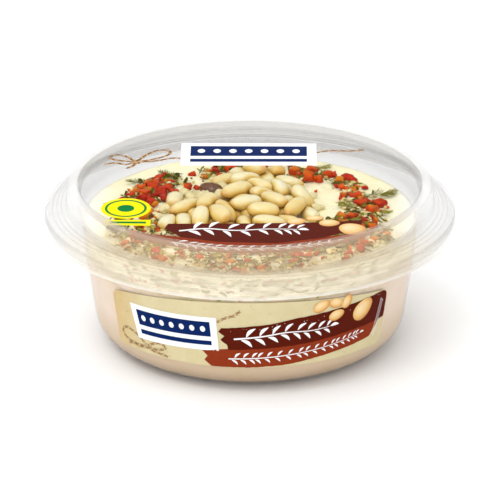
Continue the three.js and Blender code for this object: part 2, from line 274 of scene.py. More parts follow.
def brim_ridges():
    """The low moulded ridges round the brim, as corners of the lid's path."""
    slope = (BRIM_EDGE_Z - RING_FOOT_Z) / (BRIM_EDGE_RADIUS - RING_FOOT_RADIUS)
    corners = []
    for radius in RIDGE_RADII:
        z = RING_FOOT_Z + slope * (radius - RING_FOOT_RADIUS)
        corners.append((radius - RIDGE_HALF_WIDTH, z - slope * RIDGE_HALF_WIDTH))
        corners.append((radius, z + RIDGE_HEIGHT, 0.3))
        corners.append((radius + RIDGE_HALF_WIDTH, z + slope * RIDGE_HALF_WIDTH))
    return corners


def clear_lid(material):
    """The sunk panel, the raised stacking ring, the ridged brim and the skirt."""
    upper = filleted([
        (0, PANEL_Z),
        (PANEL_RADIUS, PANEL_Z, 0.7),
        (RING_INNER - 0.1, LID_TOP, 0.5),
        (RING_OUTER + 0.1, LID_TOP, 0.5),
        (RING_FOOT_RADIUS, RING_FOOT_Z, 0.8),
        *brim_ridges(),
        (BRIM_EDGE_RADIUS, BRIM_EDGE_Z, 0.6),
        (BRIM_EDGE_RADIUS + 0.1, BRIM_EDGE_Z - 1.0, 0.3),
        (LID_RADIUS - 0.4, BRIM_EDGE_Z - 1.5, 0.3),
        (LID_RADIUS, SKIRT_BOTTOM),
    ])
    casts_no_shade(shell("clear_lid", offset_path(upper, -LID_WALL), upper, material, "lid"))


# ---- hummus ----
def heap_distance(x, y):
    """How far a place lies from the middle of the heap; 1 is the reach of the nuts' centres."""
    return np.hypot((x - HEAP_X) / HEAP_REACH_X, (y - HEAP_Y) / HEAP_REACH_Y)


BED_DEPTH = 0.2  # of the bed under the nuts
CLOTTED_X, CLOTTED_Y = 19, 9  # where the bare paste is most clotted


def spooned_height(x, y):
    """Height of the hummus: long low swells, small spoon marks and a shallow bed for the nuts."""
    swell = 0.28 * np.sin(0.21 * x + 0.6) * np.cos(0.17 * y - 0.4)
    ridges = 0.14 * np.sin(0.38 * x - 0.31 * y + 1.1)
    bed = smoothstep(1.2, 1.6, heap_distance(x, y))
    return FILL_Z + lerp(-BED_DEPTH, swell + ridges, bed)


def surface_z(x, y):
    """Height of the hummus with the fine unevenness of the paste, clotted on the bare patch."""
    bare = float(smoothstep(13.0, 8.0, math.hypot(x - CLOTTED_X, (y - CLOTTED_Y) * 0.7)))
    clotted = 0.5 - abs(noise_at(x, y, 0.34, 6.0))
    bumps = 0.38 * noise_at(x, y, 0.22, 3.0) + 0.14 * noise_at(x, y, 0.7, 9.0) + 0.9 * bare * (clotted - 0.3)
    return float(spooned_height(x, y)) + bumps


def hummus_paste(material):
    """The paste up to the level of the fill; its side reaches just into the clear wall."""
    shoulder = FILL_Z - 0.6
    side = filleted(base_to_bend() + [(float(wall_radius(shoulder)), shoulder)])
    side = offset_path(side, TUB_WALL - BITE_INTO_WALL)
    rim = side[-1, 0]
    shares = 1 - np.linspace(0, 1, PASTE_RINGS + 1)[1:-1]
    top = [(rim - 0.15, FILL_Z - 0.2), *((rim * share * 0.99, FILL_Z) for share in shares), (0, FILL_Z)]
    vertices, faces = turned(np.vstack([side, np.array(top)]), PASTE_STEPS)
    for vertex in vertices:
        if vertex[2] > FILL_Z - 0.1:
            vertex[2] = surface_z(*vertex[:2])
    mesh_object("hummus_paste", vertices, faces, material, node="hummus")


# ---- rounded lumps: nuts, diced pepper, garlic grains ----
def lump_grid(rows, columns):
    """A sphere as angles: vertices as (along, turn) with one vertex at each end, and its faces."""
    along, turn = [0.0], [0.0]
    for row in range(1, rows):
        for column in range(columns):
            along.append(math.pi * row / rows)
            turn.append(2 * math.pi * column / columns)
    along.append(math.pi)
    turn.append(0.0)
    last = len(along) - 1
    end = last - columns
    faces = []
    for column in range(columns):
        beside = (column + 1) % columns
        faces.append((0, 1 + beside, 1 + column))
        for a in range(1, end, columns):
            b = a + columns
            faces.append((a + column, a + beside, b + beside, b + column))
        faces.append((last, end + column, end + beside))
    return np.array(along), np.array(turn), faces


def boxy(value, power):
    return np.sign(value) * np.abs(value) ** power


def lump(along, turn, size, power, taper=0.0, bend=0.0):
    """A rounded lump with its long side on X; power 1 is an ellipsoid, and less is boxier."""
    x = boxy(np.cos(along), power)
    ring = boxy(np.sin(along), power)
    width = 1 - taper * x
    y = ring * boxy(np.cos(turn), power)
    z = ring * boxy(np.sin(turn), power)
    shape = np.stack([x, y * width, z * width], 1) * np.array(size) / 2
    shape[:, 1] += bend * size[0] * (x * x - 0.4)
    return shape


def turn_matrix(heading, pitch, roll):
    turn = Matrix.Rotation(heading, 3, "Z") @ Matrix.Rotation(pitch, 3, "Y")
    return np.array(turn @ Matrix.Rotation(roll, 3, "X"))


class Joined:
    """Gathers many small shapes into one mesh, with a tone for each vertex."""

    def __init__(self):
        self.vertices, self.faces, self.tones, self.count = [], [], [], 0

    def add(self, vertices, faces, tones):
        self.vertices.append(vertices)
        self.faces.extend(tuple(v + self.count for v in face) for face in faces)
        self.tones.append(tones)
        self.count += len(vertices)

    def put(self, shape, faces, turn, place, tone):
        """Adds a shape turned by (heading, pitch, roll) and moved to its place."""
        self.add(shape @ turn_matrix(*turn).T + place, faces, tone_rows(len(shape), tone))

    def piece(self, name, material, slot, sharp=False, node=None):
        vertices = np.vstack(self.vertices)
        made = mesh_object(name, vertices, self.faces, material, sharp, node)
        add_tones(made, np.vstack(self.tones))
        return made


# ---- pine nuts ----
# The nuts that lie open on the heap: centre x, centre y, heading in degrees, length.
OPEN_NUTS = [
    (1.6, 26.4, -44, 9), (7.1, 27.2, -69, 8.5), (-7.1, 22.7, 20, 8.5), (-1.4, 16.5, 10, 9),
    (-3.5, 7.6, 40, 10.5), (3.3, 12.3, -20, 8.5), (3.6, 6.8, 5, 8.5), (7.8, 11.2, -66, 8.5),
    (-1.9, -1.6, 29, 9.5), (6.6, 1.1, -47, 10), (14.6, 7, -44, 9), (12.4, -3.7, 57, 9.5),
    (16.3, -2.8, -60, 8.5), (-20.9, 7.8, 85, 8), (-17.9, -0.7, 35, 10.5), (-11.7, -0.8, 72, 10),
    (-6, -4.9, -66, 10), (-8.8, -9.6, -54, 10), (-1.1, -10.3, -82, 9), (3.6, -6.7, -8, 9),
    (5.2, -11.5, 5, 10), (9.7, -8.6, 5, 8.5), (-22.5, -8.5, 75, 8.5), (-17.7, -8.6, 95, 8.5),
    (-13.4, -10, 80, 8.5), (-11, 15.3, -40, 7.5),
]
BROWNED_NUT = len(OPEN_NUTS) - 1
LOWER_NUTS = 60
LOWER_NEAREST, LOWER_FARTHEST = 2.6, 6.0  # how far a lower nut lies from the closest open one
OPEN_RISE, LOWER_RISE = 0.4, -2.2  # where nuts start over the heap's height before they settle
SETTLE_ROUNDS, SINK, PUSH = 90, 0.025, 0.25  # each round nuts sink and push by a share of their overlap
OPEN_NUT_GIVE = 0.25  # how much of its sideways push an open nut keeps, so that it hardly moves


def heap_height(x, y):
    distance = np.minimum(heap_distance(x, y), 1.0)
    return HEAP_EDGE_Z + HEAP_RISE * (1 - distance ** 2)


def lower_nuts(random):
    """Nuts under the open ones, on a spiral over the heap."""
    rows = []
    for i in range(LOWER_NUTS):
        share = math.sqrt((i + 0.5) / LOWER_NUTS)
        turn = i * GOLDEN_ANGLE
        x = HEAP_X + HEAP_REACH_X * share * math.cos(turn)
        y = HEAP_Y + HEAP_REACH_Y * share * math.sin(turn)
        heading, length = random.uniform(0, 180), random.uniform(8.5, 10.0)
        nearest = min(math.hypot(x - nut[0], y - nut[1]) for nut in OPEN_NUTS)
        on_cream = x > 11 or x < -19 or (x < -6 and y > 5)
        if LOWER_NEAREST < nearest < LOWER_FARTHEST and not on_cream:
            rows.append((x, y, heading, length))
    return rows


def closest_between(a, b, c, d):
    """Shares along the segments ab and cd where they come closest, for many pairs at once."""
    u, v, w = b - a, d - c, a - c
    uu, vv, uv = np.sum(u * u, 1), np.sum(v * v, 1), np.sum(u * v, 1)
    uw, vw = np.sum(u * w, 1), np.sum(v * w, 1)
    spread = np.maximum(uu * vv - uv * uv, 1e-9)
    s = np.clip((uv * vw - vv * uw) / spread, 0, 1)
    t = np.clip((uv * s + vw) / vv, 0, 1)
    s = np.clip((uv * t - uw) / uu, 0, 1)
    return s, t


def both_ends(middle, along, half_lengths):
    reach = along * half_lengths[:, None]
    return np.stack([middle - reach, middle + reach], 1)


def settle(ends, half_lengths, held):
    """Lets the nuts, as capsules, sink and slide apart until they lie on the paste and each other.

    held is how much of its sideways push each nut keeps."""
    first, second = np.triu_indices(len(ends), 1)
    lowest = FILL_Z - 0.9 + NUT_CORE
    highest = LID_TOP - 4.4 - NUT_CORE
    give = np.stack([held, held, np.ones(len(ends))], 1)
    for _ in range(SETTLE_ROUNDS):
        ends[:, :, 2] -= SINK
        a, b = ends[first, 0], ends[first, 1]
        c, d = ends[second, 0], ends[second, 1]
        s, t = closest_between(a, b, c, d)
        gap = (a + (b - a) * s[:, None]) - (c + (d - c) * t[:, None])
        distance = np.maximum(np.linalg.norm(gap, axis=1), 1e-6)
        overlap = np.maximum(NUT_CORE + NUT_CORE - distance, 0)
        push = gap / distance[:, None] * (PUSH * overlap)[:, None]
        for pair, share, sign in ((first, s, 1.0), (second, t, -1.0)):
            np.add.at(ends[:, 0], pair, sign * push * give[pair] * (1 - share)[:, None])
            np.add.at(ends[:, 1], pair, sign * push * give[pair] * share[:, None])
        ends = both_ends(ends.mean(1), unit(ends[:, 1] - ends[:, 0]), half_lengths)
        ends[:, :, 2] = np.clip(ends[:, :, 2], lowest, highest)
    return ends


def nut_layout(random):
    rows = OPEN_NUTS + lower_nuts(random)
    x, y, heading, length = np.array(rows, float).T
    is_open = np.arange(len(rows)) < len(OPEN_NUTS)
    heading = np.radians(heading)
    half_lengths = length / 2 - NUT_CORE
    middle = np.stack([x, y, heap_height(x, y) + np.where(is_open, OPEN_RISE, LOWER_RISE)], 1)
    along = np.stack([np.cos(heading), np.sin(heading), np.zeros(len(rows))], 1)
    ends = both_ends(middle, along, half_lengths)
    return settle(ends, half_lengths, np.where(is_open, OPEN_NUT_GIVE, 1.0)), length


def distance_to_segment(points, start, end):
    along = end - start
    share = np.clip((points - start) @ along / (along @ along), 0, 1)
    return np.linalg.norm(points - (start + share[:, None] * along), axis=1)


def painted_shade_tone(points, own, ends):
    """Painted shade and light of a nut, as a golden-brown tone: more where another nut is close by and on
    its under side, where shade falls, and least on its lit top.
    """
    others = [distance_to_segment(points, *pair) for i, pair in enumerate(ends) if i != own]
    gap = np.min(others, axis=0) - NUT_CORE
    rise = (points[:, 2] - ends[own].mean(0)[2]) / NUT_THICKNESS
    below = np.clip(-rise, 0, 0.5)
    top = smoothstep(0.05, 0.42, rise)
    return np.clip(0.24 - 0.24 * top + 0.5 * (1 - smoothstep(0.0, 1.8, gap)) + 0.75 * below, 0, 0.75)


def pine_nuts(material):
    random = np.random.default_rng(NUT_SEED)
    ends, lengths = nut_layout(random)
    along, turn, faces = lump_grid(*NUT_GRID)
    heap = Joined()
    for number, ((start, end), length) in enumerate(zip(ends, lengths)):
        direction = (end - start) / np.linalg.norm(end - start)
        if random.random() < 0.5:
            direction = -direction
        heading = math.atan2(direction[1], direction[0])
        pitch = -math.asin(direction[2])
        size = (length, NUT_WIDTH * random.uniform(0.92, 1.08), NUT_THICKNESS * random.uniform(0.95, 1.06))
        shape = lump(along, turn, size, 0.9, random.uniform(0.08, 0.2), random.uniform(-0.04, 0.04))
        placed = shape @ turn_matrix(heading, pitch, random.uniform(-0.5, 0.5)).T + (start + end) / 2
        # painted shade: golden-brown where nuts touch and below, paler on top; the browned nut is brown all
        # over
        browning_and_shade = 1.0 if number == BROWNED_NUT else painted_shade_tone(placed, number, ends)
        tones = tone_rows(len(placed), random.random(), 0.5 + shape[:, 0] / length, browning_and_shade)
        heap.add(placed, faces, tones)
    heap.piece("pine_nuts_whole", material, "pine_nut", node="pine_nuts")


# ---- pepper, garlic and herbs ----
# The larger pieces of pepper that show: x, y, width across, tone (0 is brown, 1 is orange).
LARGE_DICE = [
    (-30.9, 19.3, 1.7, 0.75), (-28.7, 16.4, 2.4, 1.0), (-25.3, 16.4, 3.2, 0.5), (-28.1, 23.7, 2.2, 0.25),
    (-30.0, 9.9, 2.6, 0.35), (-27.5, 7.8, 2.3, 0.35), (-28.9, -3.1, 2.8, 0.9), (-33.9, -3.8, 2.4, 0.6),
    (-17.4, 20.1, 2.4, 0.65), (-14.9, 20.1, 1.6, 0.6), (-16.5, 30.2, 1.8, 0.6), (-12.9, 28.0, 1.8, 0.85),
    (-11.6, 32.4, 1.6, 0.9), (-6.3, 33.8, 2.0, 0.55), (-3.6, 30.2, 2.4, 1.0),
    (12.9, 30.9, 2.8, 0.8), (17.6, 31.7, 3.2, 0.7), (16.6, 25.6, 3.0, 0.7), (19.3, 24.4, 2.8, 0.75),
    (21.8, 28.0, 2.5, 0.6), (23.7, 28.0, 1.8, 0.5), (27.8, 25.1, 3.0, 0.4), (25.3, 23.0, 2.3, 0.95),
    (27.3, 17.2, 1.9, 0.7), (25.9, 12.8, 1.8, 1.0), (29.5, 11.4, 2.8, 0.6), (30.9, 5.6, 2.9, 0.5),
    (35.8, 4.9, 3.3, 0.5), (33.3, 0.5, 2.6, 0.8), (34.7, -5.3, 1.6, 0.9), (25.2, -3.8, 2.6, 0.8),
    (28.2, -4.2, 2.4, 0.7), (11.9, 17.2, 1.3, 0.7), (18.5, 16.4, 0.9, 0.85),
    (-27.2, 17.6, 3.2, 0.5), (-24.6, 14.8, 3.0, 0.4), (-29.6, 13.4, 2.6, 0.7), (-26.2, 12.4, 2.4, 0.3),
    (-23.4, 18.2, 2.6, 0.55), (-31.6, 16.2, 2.2, 0.8), (-26.6, 20.6, 2.4, 0.65), (-24.2, 10.6, 2.2, 0.35),
    (-21.4, 15.6, 2.0, 0.6), (-33.0, 12.6, 2.0, 0.5), (-28.6, 10.2, 2.4, 0.25),
]
# Larger crumbs of paste beside the heap: x, y, width across, height of the middle.
CRUMBS = [
    (-15.9, 8.6, 4.8, 37.6), (-12.8, 10.2, 4.2, 37.3), (-8.6, 11.4, 4.2, 37.4), (-13.2, 6.2, 4.2, 38.0),
    (-16.4, 12.0, 3.8, 36.9), (-7.6, 17.6, 4.0, 37.2), (-12.2, 19.4, 3.6, 36.8), (-18.4, 14.6, 3.4, 36.6),
    (-23.6, 1.6, 3.6, 36.7), (-25.4, -2.4, 3.0, 36.5), (9.8, 17.2, 4.2, 36.8), (12.6, 13.4, 3.8, 36.7),
    (10.6, 5.6, 3.6, 37.6), (19.0, 3.6, 3.6, 36.5), (17.4, 12.2, 3.0, 36.4), (13.6, 20.2, 3.2, 36.4),
    (-8.2, 7.4, 3.8, 38.3), (14.4, -9.4, 3.4, 36.7),
]
# Fronds that stand out: x, y, length, heading in degrees.
SPRIGS = [(35.5, 13.0, 9.0, 12), (38.6, 13.6, 6.0, 35), (24.5, 22.5, 6.0, -30), (-31.0, 22.0, 6.5, 160),
          (-23.0, 28.5, 6.0, 130), (20.0, 34.0, 6.0, 20)]
# Leaves of three kinds: how many, and from what to what their length, width and lift go.
LEAVES = [(290, (1.5, 3.4), (0.7, 1.6), (0.3, 1.2)), (150, (2.0, 4.6), (0.25, 0.5), (0.3, 1.2)),
          (560, (0.6, 1.5), (0.3, 0.7), (0.1, 0.9))]
SMALL_DICE, GRAINS, SMALL_SPRIGS = 340, 640, 26
LARGEST_RISE = 2.2  # of the larger dice
DICE_DENTS, CRUMB_DENTS = 0.2, 0.18  # shares of the width
LEAF_THICK, NEEDLE_WIDTH, NEEDLE_THICK, NEEDLE_LIFT = 0.12, 0.16, 0.09, 0.9
TOPPING_REACH = 44
# The bare patch right of the heap and the two thick clumps of toppings on the left: x, y.
BARE_PATCH, LEFT_CLUMP, FRONT_LEFT_CLUMP = (17.5, 9.5), (-26, 14), (-31, -25)
BARE_HALF_WIDTH, BARE_HALF_DEPTH = 9.0, 14.0


def crowding(x, y):
    """How thickly the toppings lie at a place, from 0 to 1."""
    outer = lerp(45.0, 39.5, smoothstep(-22, -4, y))
    ring = smoothstep(outer, outer - 4.0, math.hypot(x, y))
    from_heap = smoothstep(1.0, 1.18, heap_distance(x, y))
    across, along = (x - BARE_PATCH[0]) / BARE_HALF_WIDTH, (y - BARE_PATCH[1]) / BARE_HALF_DEPTH
    bare = smoothstep(0.8, 1.12, math.hypot(across, along))
    left = smoothstep(13.0, 6.0, math.dist((x, y), LEFT_CLUMP))
    front_left = smoothstep(13.0, 5.0, math.dist((x, y), FRONT_LEFT_CLUMP))
    clumps = np.clip(0.62 + 1.1 * noise_at(x, y, 0.11, 1.7) + 0.6 * left + 0.5 * front_left, 0.05, 1)
    return float(ring * from_heap * bare * clumps)


def topping_places(random, count):
    places = []
    while len(places) < count:
        radius = TOPPING_REACH * math.sqrt(random.uniform(0.12, 1.0))
        turn = random.uniform(0, 2 * math.pi)
        x, y = radius * math.cos(turn), radius * math.sin(turn)
        if random.random() < crowding(x, y):
            places.append((x, y))
    return places


def any_turn(random, lean, roll):
    """A heading, pitch and roll, drawn one after the other."""
    return random.uniform(*ANY_HEADING), random.uniform(-lean, lean), random.uniform(-roll, roll)


def dents(shape, random, depth):
    """Uneven moves for the points of a lump, the same for neighbouring points."""
    noise.seed_set(NOISE_SEED)  # noise_vector would otherwise differ from run to run
    shift = Vector(random.uniform(-50, 50, 3))
    return np.array([noise.noise_vector(Vector(point) * 0.9 + shift) for point in shape]) * depth


def pepper_dice(material):
    random = np.random.default_rng(DICE_SEED)
    along, turn, faces = lump_grid(*DICE_GRID)
    dice = Joined()

    def add(x, y, size, tone):
        power = random.uniform(0.5, 0.85)
        shape = lump(along, turn, size, power, random.uniform(-0.3, 0.3), random.uniform(-0.2, 0.2))
        shape += dents(shape, random, DICE_DENTS * size[0])
        # painted light and shade: each die is more orange towards its top and darker red towards its bottom
        tones = np.clip(tone + 0.35 * (shape[:, 2] / size[2]) - 0.04, 0.12, 1)
        tilt = any_turn(random, 0.3, 0.3)
        z = surface_z(x, y) + 0.35 * size[2] + random.uniform(0, 0.5)
        dice.put(shape, faces, tilt, (x, y, z), tones)

    for x, y, width, tone in LARGE_DICE:
        add(x, y, (width * 1.3, width * random.uniform(0.8, 1.0), min(width * 0.75, LARGEST_RISE)), tone)
    for x, y in topping_places(random, SMALL_DICE):
        width = random.uniform(0.8, 2.6)
        size = (width, width * random.uniform(0.5, 0.9), width * random.uniform(0.45, 0.7))
        add(x, y, size, random.uniform(0.3, 1.0))
    dice.piece("pepper_dice", material, "red_pepper")


def garlic_grains(material):
    random = np.random.default_rng(GRAIN_SEED)
    grains = Joined()
    along, turn, faces = lump_grid(*CRUMB_GRID)
    for x, y, width, z in CRUMBS:
        size = (width, width * random.uniform(0.6, 0.9), width * random.uniform(0.45, 0.6))
        shape = lump(along, turn, size, 0.8, random.uniform(-0.2, 0.2), random.uniform(-0.1, 0.1))
        shape += dents(shape, random, CRUMB_DENTS * width)
        tilt = (random.uniform(*ANY_HEADING), random.uniform(-0.3, 0.3), 0)
        grains.put(shape, faces, tilt, (x, y, z), random.uniform(0.5, 0.85))
    along, turn, faces = lump_grid(*GRAIN_GRID)
    for x, y in topping_places(random, GRAINS):
        size = (random.uniform(0.7, 2.4), random.uniform(0.6, 1.6), random.uniform(0.6, 1.2))
        shape = lump(along, turn, size, 0.75, random.uniform(-0.2, 0.2))
        tilt = any_turn(random, 0.3, 0.3)
        z = surface_z(x, y) + 0.3 * size[2] + random.uniform(0, 0.4)
        grains.put(shape, faces, tilt, (x, y, z), random.random())
    grains.piece("garlic_grains", material, "hummus")


def leaf(length, width, curl, twist, thick, rows=7):
    """A thin closed leaf with pointed ends: rows across it, an upper and an under sheet."""
    share = np.linspace(-1, 1, rows)
    half = width / 2 * (1 - share ** 2) ** 0.6 + 0.04
    upper, under = [], []
    for t, h in zip(share, half):
        for side in (-1, 0, 1):
            y = side * h
            z = curl * (t * t - 0.3) + 0.25 * width * side * side + twist * t * y
            upper.append((t * length / 2, y, z + thick / 2))
            under.append((t * length / 2, y, z - thick / 2))
    offset = len(upper)
    faces = []
    for row in range(rows - 1):
        for column in range(2):
            a = row * 3 + column
            faces.append((a, a + 3, a + 4, a + 1))
            faces.append((a + offset, a + 1 + offset, a + 4 + offset, a + 3 + offset))
    rim = [*range(0, offset, 3), offset - 2, *range(offset - 1, 0, -3), 1]
    for a, b in zip(rim, rim[1:] + rim[:1]):
        faces.append((b, b + offset, a + offset, a))
    return np.array(upper + under), faces


def add_sprig(herbs, random, x, y, length, heading):
    """A feathery frond: a stem with fine needles along both sides."""
    tone = random.uniform(0.2, 0.8)
    for share in np.linspace(-0.5, 0.5, 15):
        for side in (-1, 1):
            needle = length * 0.34 * (1 - 0.9 * abs(share)) * random.uniform(0.8, 1.2)
            shape, faces = leaf(needle, NEEDLE_WIDTH, 0.1, 0.0, NEEDLE_THICK, 4)
            shape[:, 0] += needle / 2
            angle = heading + side * random.uniform(0.6, 0.95)
            bend = 0.12 * length * math.sin(2.4 * share)
            root_x = x + share * length * math.cos(heading) - bend * math.sin(heading)
            root_y = y + share * length * math.sin(heading) + bend * math.cos(heading)
            place = (root_x, root_y, surface_z(root_x, root_y) + NEEDLE_LIFT)
            herbs.put(shape, faces, (angle, random.uniform(-0.3, 0.05), 0), place, tone)


def herb_leaves(material):
    random = np.random.default_rng(HERB_SEED)
    herbs = Joined()
    for count, lengths, widths, lifts in LEAVES:
        for x, y in topping_places(random, count):
            length = random.uniform(*lengths)
            width = random.uniform(*widths)
            curl = random.uniform(-0.12, 0.2) * length
            shape, faces = leaf(length, width, curl, random.uniform(-0.3, 0.3), LEAF_THICK)
            tilt = any_turn(random, 0.35, 0.7)
            z = surface_z(x, y) + random.uniform(*lifts)
            herbs.put(shape, faces, tilt, (x, y, z), random.random())
    for x, y, length, heading in SPRIGS:
        add_sprig(herbs, random, x, y, length, math.radians(heading))
    for x, y in topping_places(random, SMALL_SPRIGS):
        add_sprig(herbs, random, x, y, random.uniform(3.0, 5.5), random.uniform(0, 2 * math.pi))
    herbs.piece("herb_leaves", material, "herb")


# Herbs and pepper show through the wall, most of them just under the surface, some lower down.
BITS_TOP, BITS_MIDDLE, BITS_LOW = 35.2, 32.4, 28.9
FRONT_ANGLE = 0.85  # most of the bits lie within this angle of the front
BITS_IN_WALL = 0.42  # how far inside the wall's outer face their middles lie


def bits_at_wall(name, count, longest, material, slot, seed):
    """Small flat bits pressed against the inside of the tub's wall, just under the surface."""
    random = np.random.default_rng(seed)
    along, turn, faces = lump_grid(*GRAIN_GRID)
    bits = Joined()
    for _ in range(count):
        size = (random.uniform(0.8, longest), random.uniform(0.45, 0.9), 0.5)
        shape = lump(along, turn, size, 0.8, random.uniform(-0.3, 0.3), random.uniform(-0.2, 0.2))
        shape = shape @ turn_matrix(random.uniform(-0.7, 0.7), 0, 0).T
        low, high = (BITS_MIDDLE, BITS_TOP) if random.random() < 0.75 else (BITS_LOW, BITS_MIDDLE)
        z = random.uniform(low, high)
        low, high = (-FRONT_ANGLE, FRONT_ANGLE) if random.random() < 0.85 else (FRONT_ANGLE, 5.4)
        angle = random.uniform(low, high)
        outward = np.array([math.sin(angle), -math.cos(angle), 0])
        sideways = np.array([math.cos(angle), math.sin(angle), 0])
        centre = outward * (float(wall_radius(z)) - BITS_IN_WALL) + (0, 0, z)
        placed = centre + np.outer(shape[:, 0], sideways) + np.outer(shape[:, 2], outward)
        placed[:, 2] += shape[:, 1]
        bits.add(placed, faces, tone_rows(len(placed), random.uniform(0.5, 1)))
    bits.piece(name, material, slot)


# ---- print: flat outlines laid on the wall or the lid ----
FILM_THICK, INK_THICK = 0.2, 0.03
NUT_CELL = 0.5  # how finely a printed nut is meshed, so that its tones are smooth
TWINE_STEP = 0.2  # between the points along printed twine
PLY_OFFSET, PLY_WIDTH, PLY_TWIST, PLY_RISE = 0.24, 0.56, 2.4, 0.012
FIBRE_SPACING, FIBRE_WIDTH, FIBRE_SINK, FIBRE_TONE = 2.5, 0.12, 0.005, 0.6
LEAF_BEND, LEAF_WIDTH, LEAF_ANGLE, LEAF_SHRINK = 0.12, 0.27, 0.72, 0.35  # of printed leaves


def on_wall(across, z, lift):
    """A label place, as millimetres round the front and height, on the tub's wall."""
    angle = across / WALL_BEND_RADIUS
    radius = wall_radius(z) + lift
    return np.stack([radius * np.sin(angle), -radius * np.cos(angle), z], 1)


def on_panel(x, y, lift):
    return np.stack([x, y, np.full(len(x), PANEL_Z) + lift], 1)


# Where print goes: the function that places it, its lowest lift, and how finely it is meshed.
ON_LABEL = (on_wall, 0.35, 2.0)
ON_LID = (on_panel, 0.06, 6)


def filled_outline(outline, cell):
    """Triangles inside an outline, with inner points on a grid so that they can bend."""
    corners = np.array(outline, float)
    low, high = corners.min(0), corners.max(0)
    grid_x = np.arange(low[0] + cell / 2, high[0], cell)
    grid_y = np.arange(low[1] + cell / 2, high[1], cell)
    points = [Vector(c) for c in corners] + [Vector((x, y)) for x in grid_x for y in grid_y]
    edges = [(i, (i + 1) % len(corners)) for i in range(len(corners))]
    flat, _, faces, *_ = delaunay_2d_cdt(points, edges, [], 1, 1e-4)
    return np.array([tuple(p) for p in flat]), faces


def print_sheet(name, outlines, surface, rise, material, slot, thick=INK_THICK, node=None, tone=None):
    """A thin closed sheet with the given outlines, laid on a surface, rise over its lowest lift.

    tone gives each flat place its tone, where the material reads one."""
    place, lift, cell = surface
    vertices, faces, tones = [], [], []
    count = 0
    for outline in outlines:
        flat, triangles = filled_outline(outline, cell)
        used = sorted({v for face in triangles for v in face})
        number = {v: count + i for i, v in enumerate(used)}
        triangles = [tuple(number[v] for v in face) for face in triangles]
        flat = flat[used]
        size = len(flat)
        for height in (lift + rise, lift + rise - thick):
            vertices.append(place(flat[:, 0], flat[:, 1], height))
            if tone is not None:
                tones.append(tone(flat))
        rim = dict.fromkeys(edge for a, b, c in triangles for edge in ((a, b), (b, c), (c, a)))
        for a, b, c in triangles:
            faces += [(a, b, c), (c + size, b + size, a + size)]
        faces += [(b, a, a + size, b + size) for a, b in rim if (b, a) not in rim]
        count += 2 * size
    piece = mesh_object(name, np.vstack(vertices), faces, material, True, node)
    if tones:
        add_tones(piece, np.vstack(tones))
    return piece


def ellipse(x, y, half_width, half_height, turns):
    return [(x + half_width * math.cos(t), y + half_height * math.sin(t)) for t in turns]


def full_circle(steps):
    return np.linspace(0, 2 * math.pi, steps, endpoint=False)


def disc(x, y, half_width, half_height, steps=16):
    return ellipse(x, y, half_width, half_height, full_circle(steps))


def box(left, right, low, high):
    return [(left, low), (right, low), (right, high), (left, high)]


def densified(outline, step=1.5):
    """The same outline with further points along its long edges."""
    points = []
    for (x0, y0), (x1, y1) in zip(outline, outline[1:] + outline[:1]):
        parts = max(1, int(math.hypot(x1 - x0, y1 - y0) / step))
        points.extend((lerp(x0, x1, k / parts), lerp(y0, y1, k / parts)) for k in range(parts))
    return points


def label_outline(radius=2.2, steps=6):
    """The label: round corners, a straight lower edge and a low arch above."""
    across, low, high = LABEL_HALF_ARC - radius, LABEL_LOW + radius, LABEL_HIGH_END - radius
    outline = []
    for quarter, (x, y) in enumerate([(across, high), (-across, high), (-across, low), (across, low)]):
        turns = np.linspace(0, math.pi / 2, steps) + quarter * math.pi / 2
        outline += ellipse(x, y, radius, radius, turns)
    arch = LABEL_HIGH - LABEL_HIGH_END
    return [(x, y + float(smoothstep(low, high, y)) * arch * (1 - (x / LABEL_HALF_ARC) ** 2))
            for x, y in densified(outline)]


def in_frame(corners, outline):
    """Maps an outline given in a unit square into a four-cornered frame.

    corners are the frame's lower left, lower right, upper right and upper left."""
    low_left, low_right, high_right, high_left = (np.array(c, float) for c in corners)
    return [tuple(lerp(lerp(low_left, low_right, u), lerp(high_left, high_right, u), v)) for u, v in outline]


def brushed(outline, seed, depth):
    """Roughens an outline a little, as a dry brush leaves it."""
    random = np.random.default_rng(seed)
    return [(x + random.uniform(-depth, depth), y + random.uniform(-depth, depth) * 0.6)
            for x, y in densified(outline, 0.9)]


def ribbon(points, width):
    """The outline of a line through the given points, with one width or one for each point."""
    path = np.array(points, float)
    side = path_steps(path)[1] * np.asarray(width)[..., None] / 2
    return [tuple(p) for p in (*(path + side), *(path - side)[::-1])]


def smooth_line(points, steps):
    """A curve through the points (Catmull-Rom)."""
    p = [np.array(q, float) for q in points]
    p = [2 * p[0] - p[1]] + p + [2 * p[-1] - p[-2]]
    line = []
    for a, b, c, d in zip(p, p[1:], p[2:], p[3:]):
        for t in np.linspace(0, 1, steps, endpoint=False):
            line.append(0.5 * (2 * b + (c - a) * t + (2 * a - 5 * b + 4 * c - d) * t * t
                               + (3 * b - a - 3 * c + d) * t ** 3))
    return np.array(line + [p[-2]])


def walked(path):
    """How far along a path each of its points lies."""
    return np.concatenate([[0], np.cumsum(np.linalg.norm(np.diff(path, axis=0), axis=1))])


def path_at(path, lengths):
    """The places on a path at these lengths from its start."""
    return np.stack([np.interp(lengths, walked(path), path[:, k]) for k in (0, 1)], 1)


def put_outline(x, y, heading, along, across):
    """An outline turned to a heading and moved to x, y."""
    cos, sin = math.cos(heading), math.sin(heading)
    return [(x + a * cos - b * sin, y + a * sin + b * cos) for a, b in zip(along, across)]


def printed_leaf(x, y, length, width, heading):
    """An almond outline with its stalk end at x, y."""
    t = np.linspace(0, 1, 11)
    half = width / 2 * np.sin(math.pi * t) ** 0.8
    along = np.concatenate([t, t[-2:0:-1]]) * length
    bend = LEAF_BEND * length * np.sin(math.pi * along / length)
    return put_outline(x, y, heading, along, np.concatenate([-half, half[-2:0:-1]]) + bend)


